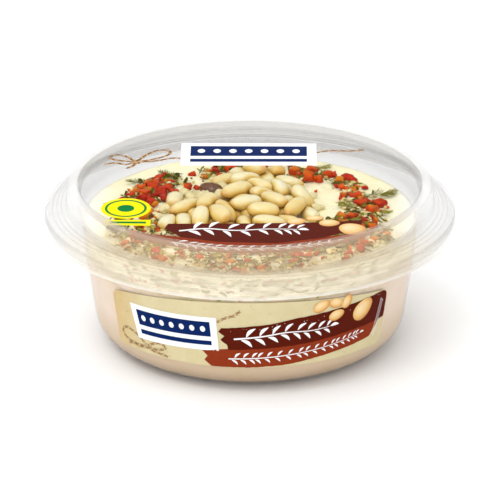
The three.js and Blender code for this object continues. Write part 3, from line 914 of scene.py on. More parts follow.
def printed_sprig(stem, pairs, leaf_length, stem_width):
    """A brushed sprig: a thinning stem with pairs of leaves, each just clear of the stem."""
    path = smooth_line(stem, 12)
    outlines = [ribbon(path, np.linspace(stem_width, 0.35 * stem_width, len(path)))]
    for pair in range(pairs):
        share = (pair + 0.6) / pairs
        at = int(share * (len(path) - 2))
        step = path[at + 1] - path[at]
        heading = math.atan2(step[1], step[0])
        length = leaf_length * (1 - LEAF_SHRINK * share)
        for side in (-1, 1):
            off = (0.5 * stem_width + 0.15) * side
            x = path[at, 0] - off * math.sin(heading) + 0.4 * length * (side > 0)
            y = path[at, 1] + off * math.cos(heading)
            outlines.append(printed_leaf(x, y, length, LEAF_WIDTH * length, heading + side * LEAF_ANGLE))
    x, y = path[-1]
    return outlines + [printed_leaf(x + 0.3, y, 0.7 * leaf_length, 0.24 * leaf_length, heading)]


def stretched(outlines, middle_y, factor):
    """The same outlines drawn out in y about a middle line."""
    return [[(x, middle_y + (y - middle_y) * factor) for x, y in outline] for outline in outlines]


def dashes(points, dash, gap, width):
    """Short strokes with a dot between every two, along a curve through the points."""
    path = smooth_line(points, 40)
    outlines, at = [], 0.0
    while at + dash < walked(path)[-1]:
        outlines.append(ribbon(path_at(path, np.linspace(at, at + dash, 4)), width))
        x, y = path_at(path, [at + dash + gap / 2])[0]
        outlines.append(disc(x, y, width * 0.55, width * 0.55, 10))
        at += dash + gap
    return outlines


def specks(random, count, area, size):
    """Tiny discs strewn over a tilted field, given by its four corners."""
    return [disc(*in_frame(area, [(random.random(), random.random() ** 0.6)])[0],
                 size * random.uniform(0.4, 1.0), size * random.uniform(0.4, 1.0), 7)
            for _ in range(count)]


def half_ring(x, y, half_width, half_depth, inner, start):
    """Half of a flat oval ring, from the angle start, whose hole is the share inner of its size."""
    turns = np.linspace(start, start + math.pi, 24)
    inside = ellipse(x, y, inner * half_width, inner * half_depth, turns)
    return ellipse(x, y, half_width, half_depth, turns) + inside[::-1]


def plate_pattern(corners):
    """A generic mark for a plate: a wide blue bar with a row of white dots, over a thin blue bar."""
    blue = [box(0.07, 0.93, 0.42, 0.86), box(0.07, 0.93, 0.16, 0.29)]
    white = [disc(lerp(0.15, 0.85, k / 6), 0.64, 0.028, 0.085) for k in range(7)]
    return [densified(in_frame(corners, bar)) for bar in blue], [in_frame(corners, dot) for dot in white]


def oval(x, y, length, width, heading_degrees):
    turns = full_circle(28)
    across = width / 2 * np.sin(turns) * (1 - 0.12 * np.cos(turns))
    return put_outline(x, y, math.radians(heading_degrees), length / 2 * np.cos(turns), across)


def oval_tone(x, y, length, width, heading_degrees):
    """Tones that round a printed oval: pale towards the upper left and brown at its lower edge."""
    cos, sin = math.cos(math.radians(heading_degrees)), math.sin(math.radians(heading_degrees))

    def tone(flat):
        dx, dy = flat[:, 0] - x, flat[:, 1] - y
        u = (dx * cos + dy * sin) / (length / 2)
        v = (dy * cos - dx * sin) / (width / 2)
        light = 0.72 + 0.28 * v - 0.12 * u - 0.55 * (u * u + v * v) ** 1.5
        return tone_rows(len(flat), np.clip(light, 0, 1))

    return tone


def printed_nuts(prefix, ovals, surface, rise, inks):
    fine = (*surface[:2], NUT_CELL)
    return [print_sheet(f"{prefix}_{i + 1}", [oval(*shape)], fine, rise, inks["nut"], "pine_nut",
                        tone=oval_tone(*shape))
            for i, shape in enumerate(ovals)]


def print_rows(rows, surface, inks):
    """Prints each row: name, outlines, rise, ink and the solid that it replaces, if any."""
    return [print_sheet(name, outlines, surface, rise, inks[ink], "print_" + ink, INK_THICK, *node)
            for name, outlines, rise, ink, *node in rows]


def add_strip(twine, path, width, place, lift, tone):
    """Adds a flat closed strip along a path, with one tone for each point of the path."""
    side = path_steps(path)[1] * width / 2
    rows = [place(edge[:, 0], edge[:, 1], height)
            for height in (lift, lift - INK_THICK) for edge in (path + side, path - side)]
    count = len(path)
    a, b, c, d = (np.arange(count) + k * count for k in range(4))
    faces = []
    for i in range(count - 1):
        j = i + 1
        faces += [(a[i], b[i], b[j], a[j]), (c[j], d[j], d[i], c[i]),
                  (a[j], c[j], c[i], a[i]), (b[i], d[i], d[j], b[j])]
    faces += [(a[0], c[0], d[0], b[0]), (b[-1], d[-1], c[-1], a[-1])]
    twine.add(np.vstack(rows), faces, tone_rows(4 * count, np.tile(tone, 4)))


def strands(name, lines, width, surface, rise, material):
    """Printed twine: two plies twisted round each other along the lines, with loose fibres."""
    random = np.random.default_rng(TWINE_SEED)
    place, lift = surface[0], surface[1] + rise
    twine = Joined()
    for points in lines:
        rough = smooth_line(points, 14)
        length = walked(rough)[-1]
        along = np.linspace(0, length, max(4, int(length / TWINE_STEP)))
        path = path_at(rough, along)
        steps, across = path_steps(path)
        for ply in (0, 1):
            turn = along * PLY_TWIST / width + ply * math.pi
            lane = path + across * (PLY_OFFSET * width * np.sin(turn))[:, None]
            height = lift + PLY_RISE * ply
            add_strip(twine, lane, PLY_WIDTH * width, place, height, 0.5 + 0.5 * np.cos(turn))
        for at in random.integers(0, len(path) - 1, int(length / FIBRE_SPACING)):
            reach = across[at] * random.choice([-1, 1]) * width + steps[at] * 1.6 * width
            fibre = path[at] + reach * np.linspace(0.2, 0.9, 4)[:, None]
            add_strip(twine, fibre, FIBRE_WIDTH * width, place, lift - FIBRE_SINK, np.full(4, FIBRE_TONE))
    return twine.piece(name, material, "twine", True)


# ---- materials ----
def new_material(name):
    material = bpy.data.materials.new(name)
    material.use_nodes = True
    tree = material.node_tree
    return material, tree, tree.nodes["Principled BSDF"]


def fill(node, inputs):
    """Sets inputs of a node: a socket is linked, and anything else is the input's own value."""
    for key, value in inputs.items():
        if isinstance(value, bpy.types.NodeSocket):
            node.id_data.links.new(value, node.inputs[key])
        else:
            node.inputs[key].default_value = value


def add_node(tree, kind, inputs, output=0, **settings):
    """Adds a node with its settings and inputs, and returns one of its outputs."""
    node = tree.nodes.new("ShaderNode" + kind)
    for key, value in settings.items():
        setattr(node, key, value)
    fill(node, inputs)
    return node.outputs[output]


def object_place(tree):
    return add_node(tree, "TexCoord", {}, "Object")


def place_parts(tree):
    return add_node(tree, "SeparateXYZ", {"Vector": object_place(tree)}).node.outputs


def tone_parts(tree):
    tone = add_node(tree, "Attribute", {}, "Color", attribute_name="tone")
    return add_node(tree, "SeparateColor", {"Color": tone}).node.outputs


def noise_node(tree, scale, detail, roughness=0.5, place=None):
    """Noise that sits on the object itself; scale is in features for each metre."""
    inputs = {"Vector": place or object_place(tree), "Scale": scale, "Detail": detail}
    return add_node(tree, "TexNoise", {**inputs, "Roughness": roughness}, "Fac")


def ramp(source, stops):
    color = add_node(source.id_data, "ValToRGB", {"Fac": source}, "Color")
    elements = color.node.color_ramp.elements
    while len(elements) < len(stops):
        elements.new(0.5)
    for element, (position, stop) in zip(elements, stops):
        element.position = position
        element.color = (*stop, 1.0)
    return color


def stain(source, low, high, tint):
    """A tint where the source is low, and no tint where it is high."""
    return ramp(source, [(low, tint), (high, WHITE)])


def span(source, low, high):
    """0 to 1 as a length goes from low to high millimetres."""
    inputs = {"Value": source, "From Min": low * MM, "From Max": high * MM}
    return add_node(source.id_data, "MapRange", inputs, "Result")


def product(first, second):
    return add_node(first.id_data, "Math", {0: first, 1: second}, operation="MULTIPLY")


def mixed(share, first, second, blend="MIX"):
    """A colour that goes from the first to the second as share goes from 0 to 1."""
    inputs = {0: share, 6: first, 7: second}
    return add_node(first.id_data, "Mix", inputs, 2, data_type="RGBA", blend_type=blend)


def multiplied(color, *tints):
    for tint in tints:
        color = mixed(1.0, color, tint, "MULTIPLY")
    return color


def shader_mix(share, first, second):
    return add_node(first.id_data, "MixShader", {"Fac": share, 1: first, 2: second})


def set_surface(shader, color, roughness, gloss):
    fill(shader, {"Base Color": color, "Roughness": roughness, "Specular IOR Level": gloss})


def set_depth(shader, weight, radius, scale_mm):
    """Lets light into the surface."""
    scale = scale_mm * MM
    fill(shader, {"Subsurface Weight": weight, "Subsurface Radius": radius, "Subsurface Scale": scale})


def set_bump(shader, source, strength, distance_mm):
    inputs = {"Height": source, "Strength": strength, "Distance": distance_mm * MM}
    fill(shader, {"Normal": add_node(source.id_data, "Bump", inputs)})


# Zones of the clear plastics by distance from the axis: radii, haze, milk, gloss, clearness.
TUB_ZONES = [
    ((0, 46.3), 0.05, 0.9, 0.5, 0.985), ((46.7, 49.3), 0.08, 0.85, 0.5, 0.92),
    ((49.8,), 0.08, 0.85, 0.5, 0.975), ((55,), 0.08, 0.85, 0.6, 0.97),
]
# On the lid, the grey, less clear bands on the ring's inner wall, at the ring's foot and at the brim's edge
# are painted shade for the dark lines that the bends draw; the white band at the skirt's bottom edge is a
# painted highlight, and the white haze on the ring's top is partly a painted highlight.
LID_ZONES = [
    ((0, 46.5), 0.001, 0.9, 0.06, 0.87), ((46.65, 47.4), 0.16, 0.4, 0.4, 0.81),
    ((47.6, 50.0), 0.36, 0.73, 0.5, 0.985), ((50.15, 50.72), 0.2, 0.76, 0.5, 0.98),
    ((50.82, 50.95), 0.26, 0.5, 0.6, 0.88), ((51.1, 56.2), 0.22, 0.73, 0.9, 0.91),
    ((56.35, 56.55), 0.3, 0.4, 0.5, 0.82), ((56.7, 57.4), 0.05, 0.85, 0.4, 0.99),
    ((57.47,), 0.75, 0.95, 0.5, 0.98),
]
# Towards the front the lid's haze is thicker and warm: painted light, the glow of the paste beneath it, with
# a darker band at the ring's foot as painted shade; radii, haze, and the colour that it shows.
FRONT_GLOW_ZONES = [
    ((0, 46.5), 0.001, (233, 212, 180)), ((46.65, 47.5), 0.06, (225, 200, 172)),
    ((47.7, 50.0), 0.2, (232, 210, 184)), ((50.15, 50.6), 0.28, (224, 200, 168)),
    ((50.75, 50.95), 0.36, (192, 168, 142)), ((51.1,), 0.36, (212, 194, 164)),
    ((52.6,), 0.36, (214, 196, 166)), ((53.0,), 0.3, (232, 217, 190)), ((56.3,), 0.36, (250, 239, 214)),
    ((56.7,), 0.26, (237, 225, 203)), ((57.3,), 0.3, (240, 230, 211)), ((57.4,), 0.8, (255, 254, 250)),
]
FRONT_GLOW_FROM_Y, FRONT_GLOW_FULL_Y = -17.0, -38.0
STREAK_LOW_Z, STREAK_HIGH_Z, STREAK_FROM_Y, STREAK_FULL_Y = 24.5, 28.5, -8.0, -24.0
PALE_RIM_FROM_X, PALE_RIM_FULL_X, PALE_RIM_FROM_Z, PALE_RIM_FULL_Z = 38.0, 44.5, 34.6, 35.3
GOLDEN_END_X, CREAM_FROM_X = -37.0, -28.0  # the label is golden left of here, cream right of there


def zone_ramp(distance, zones, color_of):
    """A ramp over the zones, with the colour that color_of gives for each zone."""
    stops = [(radius / LID_RADIUS, color_of(zone)) for zone in zones for radius in zone[0]]
    return ramp(distance, stops)


def zone_grey(distance, zones, column):
    return zone_ramp(distance, zones, lambda zone: (zone[column],) * 3)


def clear_plastic(name, hue, zones, roughness, front_glow=None):
    """Thin clear plastic: see-through, glossier and darker edge-on, with a little haze of this hue, and
    painted warm light in a thicker haze towards the front where zones for it are given.
    """
    material, tree, shader = new_material(name)
    tree.nodes.remove(shader)
    flat = add_node(tree, "VectorMath", {0: object_place(tree), 1: (1, 1, 0)}, operation="MULTIPLY")
    distance = span(add_node(tree, "VectorMath", {0: flat}, "Value", operation="LENGTH"), 0, LID_RADIUS)
    # the zones' haze and milk are partly the plastic's real haze and partly painted shade and painted
    # highlight
    haze, glossy, clearness = (zone_grey(distance, zones, column) for column in (1, 3, 4))
    milk_and_painted_light = zone_ramp(distance, zones, lambda zone: tuple(zone[2] * part for part in hue))
    if front_glow:
        # painted light: towards the front the haze thickens and takes the warm colours of the paste beneath
        share = span(place_parts(tree)["Y"], FRONT_GLOW_FROM_Y, FRONT_GLOW_FULL_Y)
        haze = mixed(share, haze, zone_grey(distance, front_glow, 1))
        milk_and_painted_light = mixed(share, milk_and_painted_light, zone_ramp(distance, front_glow, lambda zone: shown(*zone[2])))
    facing = add_node(tree, "LayerWeight", {"Blend": 0.5}, "Facing")
    edge_tint = ramp(facing, [(0.0, WHITE), (0.8, WHITE), (1.0, (0.86, 0.86, 0.87))])
    edge_on = add_node(tree, "Math", {0: facing, 1: 6.0}, operation="POWER")
    clear = add_node(tree, "BsdfTransparent", {"Color": multiplied(edge_tint, clearness)})
    milk = add_node(tree, "BsdfDiffuse", {"Color": milk_and_painted_light})
    through = add_node(tree, "BsdfTranslucent", {"Color": milk_and_painted_light})
    gloss = add_node(tree, "BsdfGlossy", {"Color": (1, 1, 1, 1), "Roughness": roughness})
    hazed = shader_mix(haze, clear, shader_mix(0.25, milk, through))
    glossed = shader_mix(product(edge_on, glossy), hazed, gloss)
    fill(tree.nodes["Material Output"], {"Surface": glossed})
    return material


def pale_rim_share(tree, place):
    """Where the paste is paler: on its rim at the top, at its left and right edges."""
    far = add_node(tree, "Math", {0: place["X"]}, operation="ABSOLUTE")
    edge = span(far, PALE_RIM_FROM_X, PALE_RIM_FULL_X)
    return product(edge, span(place["Z"], PALE_RIM_FROM_Z, PALE_RIM_FULL_Z))


def streak_share(tree, place):
    """Where the streaks lie: a noise drawn out sideways, high up on the front of the side."""
    flat = add_node(tree, "VectorMath", {0: object_place(tree), 1: (1, 1, 4)}, operation="MULTIPLY")
    streaks = ramp(noise_node(tree, 160, 4, 0.6, flat), [(0.46, (0, 0, 0)), (0.62, (0.8, 0.8, 0.8))])
    high = span(place["Z"], STREAK_LOW_Z, STREAK_HIGH_Z)
    front = span(place["Y"], STREAK_FROM_Y, STREAK_FULL_Y)
    return product(product(high, front), streaks)


def hummus_material():
    """Pale paste: creamier on top and pinker where it is pressed against the tub, with painted shade: darker
    towards the bottom and a band of painted shadow under the lid's skirt.

    High on the front side herbs and pepper show through as faint lying streaks."""
    material, tree, shader = new_material("hummus_paste")
    place = place_parts(tree)
    # up the side: painted shade darker towards the bottom, where the side turns under; at 0.8 a darker band,
    # the painted shadow of the lid's skirt; above it lighter, painted light that makes up for the shade
    # under the brim
    side = ramp(span(place["Z"], 0, FILL_Z), [
        (0.0, shown(172, 140, 108)), (0.22, shown(216, 192, 162)), (0.45, shown(240, 219, 202)),
        (0.76, shown(240, 219, 200)), (0.8, shown(216, 195, 160)),
        (0.85, shown(252, 240, 210, UNDER_BRIM_LEVEL)),
        (0.985, shown(255, 249, 210, CREAM_LEVEL)),
    ])
    shade = stain(noise_node(tree, 140, 3), 0.3, 0.65, (0.975, 0.95, 0.87))
    flecks = stain(noise_node(tree, 1300, 2), 0.26, 0.31, (0.8, 0.72, 0.5))
    color = multiplied(side, shade, flecks)
    color = mixed(streak_share(tree, place), color, (*shown(186, 178, 128), 1))
    color = mixed(pale_rim_share(tree, place), color, (*shown(255, 253, 243, CREAM_LEVEL), 1))
    set_surface(shader, color, roughness=0.5, gloss=0.3)
    set_depth(shader, weight=0.15, radius=(1.0, 0.7, 0.4), scale_mm=2.0)
    set_bump(shader, noise_node(tree, 900, 4), strength=0.35, distance_mm=0.25)
    return material


def even_stops(light, *colors):
    """Evenly spread stops of a ramp, for colours as they show in a light."""
    return [(i / (len(colors) - 1), light(*color)) for i, color in enumerate(colors)]


def nut_material():
    """Cream nuts with golden tips; the third tone is painted shade, golden-brown where nuts touch and on
    their under sides and paler on their tops, and it is 1 on a browned nut.
    """
    material, tree, shader = new_material("pine_nut")
    tone = tone_parts(tree)
    base = ramp(tone["Red"], even_stops(seen, (250, 224, 144), (254, 238, 178), (255, 250, 214)))
    tip = ramp(tone["Green"], [
        (0.0, (0.9, 0.74, 0.5)), (0.1, WHITE), (0.84, WHITE), (1.0, (0.85, 0.66, 0.36)),
    ])
    # painted shade between and under the nuts; at 1 the browned nut's own colour
    browning_and_shade = ramp(tone["Blue"], [
        (0.0, WHITE), (0.24, (0.92, 0.77, 0.38)), (0.48, (0.76, 0.58, 0.2)), (0.75, (0.46, 0.3, 0.06)),
        (1.0, (0.16, 0.06, 0.015)),
    ])
    mottle = noise_node(tree, 420, 3)
    shade = stain(mottle, 0.3, 0.65, (0.96, 0.92, 0.84))
    set_surface(shader, multiplied(base, tip, browning_and_shade, shade), roughness=0.2, gloss=0.9)
    set_depth(shader, weight=0.35, radius=(1.0, 0.6, 0.2), scale_mm=1.8)
    set_bump(shader, mottle, strength=0.15, distance_mm=0.2)
    return material


def toned_material(name, stops, roughness, noise_scale, dark, bump_mm, gloss=0.3):
    """A finish whose colour follows the tone on each vertex, with a fine mottle."""
    material, tree, shader = new_material(name)
    mottle = noise_node(tree, noise_scale, 3)
    base = ramp(tone_parts(tree)["Red"], stops)
    color = multiplied(base, stain(mottle, 0.3, 0.7, (dark,) * 3))
    set_surface(shader, color, roughness, gloss)
    set_bump(shader, mottle, 0.3, bump_mm)
    return material


def ink_material(name, color, fade=0.9):
    """Printed film: an even colour with a faint mottle of the press."""
    material, tree, shader = new_material(name)
    faded = tuple(c * fade for c in color)
    mottled = ramp(noise_node(tree, 700, 4), [(0.35, faded), (0.65, color)])
    set_surface(shader, mottled, roughness=0.6, gloss=0.03)
    return material


def label_material():
    """Cream printed paper film, golden towards its left end, with small darker fibres."""
    material, tree, shader = new_material("label_cream")
    along = span(place_parts(tree)["X"], GOLDEN_END_X, CREAM_FROM_X)
    ground = ramp(along, even_stops(shown, (216, 186, 128), (219, 206, 163)))
    grain = stain(noise_node(tree, 260, 6, 0.65), 0.35, 0.62, (0.94, 0.92, 0.87))
    fibres = stain(noise_node(tree, 1500, 2), 0.27, 0.32, (0.72, 0.65, 0.52))
    set_surface(shader, multiplied(ground, grain, fibres), roughness=0.5, gloss=0.25)
    return material


# ---- camera, floor and light ----
CAMERA_DISTANCE = 987.7  # from the point looked at
CAMERA_ELEVATION = 22.25  # degrees
CAMERA_TARGET_Z = 25.04
FOCAL_PIXELS, FRAME_PIXELS = 3556.0, 500.0  # focal length in pixels of the frame, and its width
SENSOR_WIDTH = 36.0
FLOOR_HALF = 4.0  # metres


def make_camera():
    data = bpy.data.cameras.new("camera")
    data.sensor_width = SENSOR_WIDTH
    data.lens = FOCAL_PIXELS / FRAME_PIXELS * SENSOR_WIDTH
    data.clip_start, data.clip_end = 0.05, 20.0
    camera = in_scene("camera", data)
    elevation = math.radians(CAMERA_ELEVATION)
    back = Vector((0, -math.cos(elevation), math.sin(elevation)))
    camera.location = (Vector((0, 0, CAMERA_TARGET_Z)) + back * CAMERA_DISTANCE) * MM
    camera.rotation_euler = (math.pi / 2 - elevation, 0, 0)
    bpy.context.scene.camera = camera


def make_floor():
    mesh = bpy.data.meshes.new("floor")
    corners = box(-FLOOR_HALF, FLOOR_HALF, -FLOOR_HALF, FLOOR_HALF)
    mesh.from_pydata([(x, y, 0) for x, y in corners], [], [(0, 1, 2, 3)])
    material, _, shader = new_material("floor")
    set_surface(shader, (0.8, 0.8, 0.8, 1), roughness=0.9, gloss=0.0)
    mesh.materials.append(material)
    in_scene("floor", mesh)


def make_lamp(name, kind, place, aim, power, **settings):
    """A lamp at a place in metres, which shines towards aim; of a sun only the direction counts."""
    data = bpy.data.lights.new(name, kind)
    data.energy = power
    for key, value in settings.items():
        setattr(data, key, value)
    lamp = in_scene(name, data)
    if kind != "SUN":
        lamp.location = place
    lamp.rotation_euler = (Vector(aim) - Vector(place)).to_track_quat("-Z", "Y").to_euler()


def make_light():
    """Even light, with suns so that the floor is as bright far off as near, and one soft key lamp."""
    world = bpy.data.worlds.new("studio")
    world.use_nodes = True
    fill(world.node_tree.nodes["Background"], {"Color": (1.0, 1.0, 1.0, 1), "Strength": 1.1})
    bpy.context.scene.world = world
    softness = math.radians(60)
    make_lamp("soft_top", "SUN", (-0.3, -0.2, 1.0), (0, 0, 0), 0.6, angle=softness)
    make_lamp("soft_front", "SUN", (-0.1, -1.0, 0.3), (0, 0, 0), 1.1, angle=softness)
    make_lamp("key", "AREA", (-0.45, -0.45, 0.95), (0, 0, 0.03), 2.5, shape="SQUARE", size=0.4)


def set_view():
    scene = bpy.context.scene
    scene.view_settings.view_transform = "Standard"
    scene.view_settings.look = "None"
    scene.cycles.use_denoising = True
    scene.cycles.caustics_reflective = False
    scene.cycles.caustics_refractive = False
    scene.cycles.transparent_max_bounces = 24
    scene.cycles.max_bounces = 10


# ---- label round the front ----
SIDE_PLATE = [(-34.3, 12.8), (-8.7, 13.7), (-9.2, 23.9), (-36.0, 23.1)]
SIDE_BANNER = [(-5.9, 14.2), (13.6, 15.1), (29.0, 16.2), (43.0, 16.6), (43.1, 22.2), (42.9, 23.6),
               (42.2, 24.6), (40.9, 25.1), (29.7, 24.6), (12.1, 23.3), (5.3, 22.1), (-7.8, 20.8),
               (-8.6, 19.6), (-6.9, 18.4), (-8.2, 17.2), (-6.4, 15.8)]
SIDE_BAND = [(-11.1, 8.8), (0.0, 8.8), (10.0, 9.2), (19.5, 10.3), (37.6, 12.2), (41.0, 16.6),
             (29.0, 16.5), (13.6, 15.4), (-5.9, 14.5), (-13.4, 13.4), (-11.9, 11.8), (-12.9, 10.6)]
SIDE_SPRIG = [(-4.4, 17.6), (3.0, 18.4), (10.0, 19.3), (17.0, 19.0), (22.4, 19.3)]
SIDE_GARLAND = [(-6.0, 11.4), (4.0, 11.8), (16.0, 12.6), (26.0, 13.6), (33.0, 14.5)]
SIDE_OVALS = [(19.6, 26.0, 5.0, 3.2, 24), (24.0, 26.1, 4.4, 2.9, -14), (27.4, 25.9, 4.2, 2.9, 62),
              (24.4, 22.4, 4.8, 3.1, 14), (33.4, 21.9, 7.4, 5.6, 38)]
SIDE_SPECK_FIELD = [(-6, 19.5), (41, 22.5), (41, 25.0), (-6, 20.8)]
SIDE_FINE_PRINT = [[(38.4, 12.6), (39.6, 17.0), (40.6, 22.8)], [(39.2, 12.0), (40.4, 16.8), (41.3, 22.2)]]
SIDE_TWINE = [
    [(-31.4, 10.9), (-34.5, 13.4), (-38.6, 14.6), (-40.9, 13.2), (-39.6, 11.2), (-35.6, 10.5),
     (-31.6, 10.7)],
    [(-31.2, 10.9), (-29.0, 12.3), (-26.4, 12.9), (-24.9, 11.9), (-26.6, 10.9), (-29.0, 10.6),
     (-31.0, 10.7)],
    [(-31.3, 10.8), (-29.2, 9.9), (-26.4, 9.6), (-24.4, 9.3)],
    [(-31.5, 10.8), (-34.0, 10.1), (-36.6, 10.3), (-38.8, 9.9)],
    [(-8.9, 22.6), (-6.6, 24.0), (-4.4, 24.8), (-2.6, 26.3)],
]
SIDE_KNOT = [[(-31.9, 10.1), (-31.4, 10.8), (-31.0, 11.6)], [(-30.9, 10.2), (-31.4, 10.8), (-32.0, 11.3)]]


def side_label(inks):
    print_sheet("label_film", [label_outline()], ON_LABEL, 0, inks["cream"], "label_cream", FILM_THICK,
                "side_label")
    strands("label_twine", SIDE_TWINE, 0.85, ON_LABEL, 0.035, inks["faded_twine"])
    strands("label_knot", SIDE_KNOT, 0.9, ON_LABEL, 0.05, inks["faded_twine"])
    bars, dots = plate_pattern(SIDE_PLATE)
    sprig = printed_sprig(SIDE_SPRIG, 8, 3.9, 0.5)
    flecks = specks(np.random.default_rng(SPECK_SEED), 26, SIDE_SPECK_FIELD, 0.12)
    fine = [stroke for line in SIDE_FINE_PRINT for stroke in dashes(line, 0.3, 0.8, 0.3)]
    print_rows([
        ("label_plate", [densified(SIDE_PLATE)], 0.08, "white", "side_plate"),
        ("label_plate_bars", bars, 0.11, "blue"),
        ("label_plate_dots", dots, 0.14, "white"),
        ("label_banner", [brushed(SIDE_BANNER, 3, 0.12)], 0.11, "brown", "side_banner"),
        ("label_band", [brushed(SIDE_BAND, 4, 0.12)], 0.08, "rust", "side_band"),
        ("label_sprig", sprig + flecks, 0.14, "white"),
        ("label_garland", printed_sprig(SIDE_GARLAND, 17, 2.3, 0.34), 0.14, "white"),
        ("label_fine_dashes", fine, 0.14, "white"),
    ], ON_LABEL, inks)
    printed_nuts("label_nut", SIDE_OVALS, ON_LABEL, 0.17, inks)


# ---- print on the lid ----
LID_PLATE = [(-19.6, 18.7), (18.7, 18.8), (18.9, 36.2), (-19.5, 36.7)]
LID_BANNER = [(-22.9, -28.9), (-18.4, -34.8), (-8.6, -38.2), (7.1, -39.2), (19.7, -35.2),
              (30.1, -28.1), (30.2, -22.7), (21.6, -24.2), (0, -25.1), (-22.1, -25.3)]
LID_BAND = [(-30.2, -34.9), (-21.5, -40.8), (-15, -43.7), (-7, -45.7), (0, -46.2), (8, -45.6),
            (16, -43.3), (24.6, -39.1), (33.2, -32.0), (33.6, -30.4), (25, -33.0), (7.5, -38.9),
            (-8.8, -37.9), (-18.5, -34.6), (-32.2, -31.2)]
LID_SPRIG = [(-19.0, -30.8), (-12.0, -29.8), (-4.0, -30.6), (4.0, -30.0), (9.0, -30.0), (12.6, -30.2)]
LID_SPRIG_MIDDLE_Y, LID_SPRIG_STRETCH = -31.4, 1.6
LID_GARLAND = [(-21.0, -38.4), (-12.0, -41.6), (0.0, -42.8), (12.0, -41.6), (23.0, -37.4)]
LID_OVALS = [(17.6, -21.4, 4.8, 3.4, 6), (12.6, -23.6, 5.2, 4.4, 20), (21.4, -24.8, 5.6, 4.8, 4),
             (27.6, -29.2, 7.2, 8.4, 20)]
LID_TWINE = [
    [(-32.0, 21.4), (-29.6, 26.6), (-26.4, 30.6), (-23.2, 30.8), (-22.9, 27.6), (-26.4, 24.2),
     (-31.6, 21.6)],
    [(-32.2, 21.4), (-34.6, 25.4), (-37.6, 27.2), (-39.6, 25.0), (-37.2, 22.8), (-32.6, 21.4)],
    [(-32.0, 21.4), (-35.0, 19.6), (-38.0, 20.8), (-40.8, 19.8)],
    [(-31.9, 21.2), (-32.8, 18.6), (-34.6, 16.4)],
    [(-31.8, 21.4), (-27.0, 22.2), (-22.0, 24.6), (-19.4, 24.4)],
    [(18.9, 29.0), (23.0, 30.6), (28.0, 30.2), (32.4, 31.2)],
]
LID_KNOT = [[(-32.8, 19.8), (-32.0, 21.4), (-31.6, 23.2)], [(-31.2, 20.2), (-32.0, 21.4), (-32.9, 22.6)]]
BADGE = (-33.8, -14.0, 6.8, 7.5)
BADGE_BAR = [(-38.6, -26.2), (-26.8, -26.6), (-26.8, -22.4), (-39.6, -22.4)]
BADGE_RING, BADGE_RING_HOLE, BADGE_DOT = 0.84, 0.88, 0.34  # shares of the size of what is round them


def badge_marks():
    """A green ring and dot for the badge and a stripe for the bar below it."""
    x, y, half_width, half_depth = BADGE
    ring_size = (BADGE_RING * half_width, BADGE_RING * half_depth, BADGE_RING_HOLE)
    rings = [half_ring(x, y, *ring_size, start) for start in (0, math.pi)]
    dot = disc(x, y, BADGE_DOT * half_width, BADGE_DOT * half_depth)
    return [*rings, dot, in_frame(BADGE_BAR, box(0.1, 0.9, 0.35, 0.68))]


def lid_print(inks):
    """The print on the lid. It casts no shade, as a thin ink film that lets light through hardly does."""
    bars, dots = plate_pattern(LID_PLATE)
    leaves = stretched(printed_sprig(LID_SPRIG, 8, 4.2, 0.5), LID_SPRIG_MIDDLE_Y, LID_SPRIG_STRETCH)
    twine = strands("lid_twine", LID_TWINE, 1.0, ON_LID, 0, inks["twine"])
    knot = strands("lid_knot", LID_KNOT, 1.2, ON_LID, 0.01, inks["twine"])
    fields = print_rows([
        ("lid_plate_print", [LID_PLATE], 0.03, "white", "lid_plate"),
        ("lid_plate_bars", bars, 0.05, "blue"),
        ("lid_plate_dots", dots, 0.07, "white"),
        ("lid_band_print", [brushed(LID_BAND, 6, 0.1)], 0, "rust", "lid_band"),
        ("lid_banner_print", [brushed(LID_BANNER, 5, 0.1)], 0.03, "brown", "lid_banner"),
        ("lid_sprig", leaves, 0.05, "white"),
        ("lid_garland", printed_sprig(LID_GARLAND, 15, 2.7, 0.5), 0.05, "white"),
    ], ON_LID, inks)
    nuts = printed_nuts("lid_nut", LID_OVALS, ON_LID, 0.07, inks)
    badge = print_rows([
        ("lid_badge_print", [disc(*BADGE, 40)], 0, "yellow", "lid_badge"),
        ("lid_badge_bar_print", [BADGE_BAR], 0, "yellow", "lid_badge_bar"),
        ("lid_badge_marks", badge_marks(), 0.03, "green"),
    ], ON_LID, inks)
    for piece in (twine, knot, *fields, *nuts, *badge):
        casts_no_shade(piece)


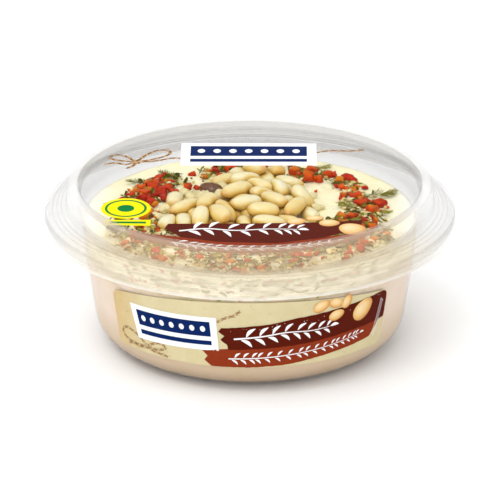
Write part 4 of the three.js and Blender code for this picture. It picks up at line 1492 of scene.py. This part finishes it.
# ---- everything ----
def make_inks():
    twine = even_stops(shown, (112, 72, 38), (176, 130, 84), (222, 188, 144))
    faded_twine = even_stops(shown, (146, 112, 76), (186, 156, 114), (216, 192, 148))
    nut = even_stops(shown, (202, 134, 64), (242, 192, 114), (255, 240, 198))
    return {
        "cream": label_material(),
        "white": ink_material("print_white", shown(255, 255, 255), 0.98),
        "brown": ink_material("print_brown", shown(92, 26, 11)),
        "rust": ink_material("print_rust", shown(146, 56, 28)),
        "yellow": ink_material("print_yellow", shown(255, 240, 0), 0.97),
        "blue": ink_material("print_blue", shown(10, 38, 96)),
        "green": ink_material("print_green", shown(0, 130, 62)),
        "twine": toned_material("twine", twine, 0.8, 2500, 0.75, 0.05, 0.05),
        "faded_twine": toned_material("faded_twine", faded_twine, 0.8, 2500, 0.85, 0.05, 0.05),
        "nut": toned_material("printed_nut", nut, 0.55, 900, 0.93, 0.01),
    }


def build():
    make_camera()
    make_floor()
    make_light()
    set_view()
    tub_plastic = clear_plastic("tub_plastic", (1.0, 0.97, 0.92), TUB_ZONES, 0.12)
    lid_plastic = clear_plastic("lid_plastic", (1.0, 1.0, 0.995), LID_ZONES, 0.1, FRONT_GLOW_ZONES)
    inks = make_inks()
    pepper = toned_material("red_pepper", [
        (0.0, seen(120, 66, 30)), (0.12, seen(150, 22, 0)), (0.5, seen(212, 46, 0)),
        (0.8, seen(238, 88, 0)), (1.0, seen(244, 146, 20)),
    ], 0.35, 500, 0.6, 0.15, 0.1)
    green = even_stops(seen, (80, 78, 12), (138, 132, 36), (192, 184, 84))
    herb = toned_material("herb", green, 0.7, 900, 0.7, 0.1, 0.06)
    pale = even_stops(seen, (222, 186, 104), (247, 228, 160), (255, 246, 200))
    clear_tub(tub_plastic)
    hummus_paste(hummus_material())
    pine_nuts(nut_material())
    pepper_dice(pepper)
    garlic_grains(toned_material("garlic", pale, 0.45, 500, 0.9, 0.1))
    herb_leaves(herb)
    bits_at_wall("herbs_at_wall", 120, 2.8, herb, "herb", WALL_HERB_SEED)
    bits_at_wall("pepper_at_wall", 36, 2.4, pepper, "red_pepper", WALL_PEPPER_SEED)
    clear_lid(lid_plastic)
    side_label(inks)
    lid_print(inks)


build()
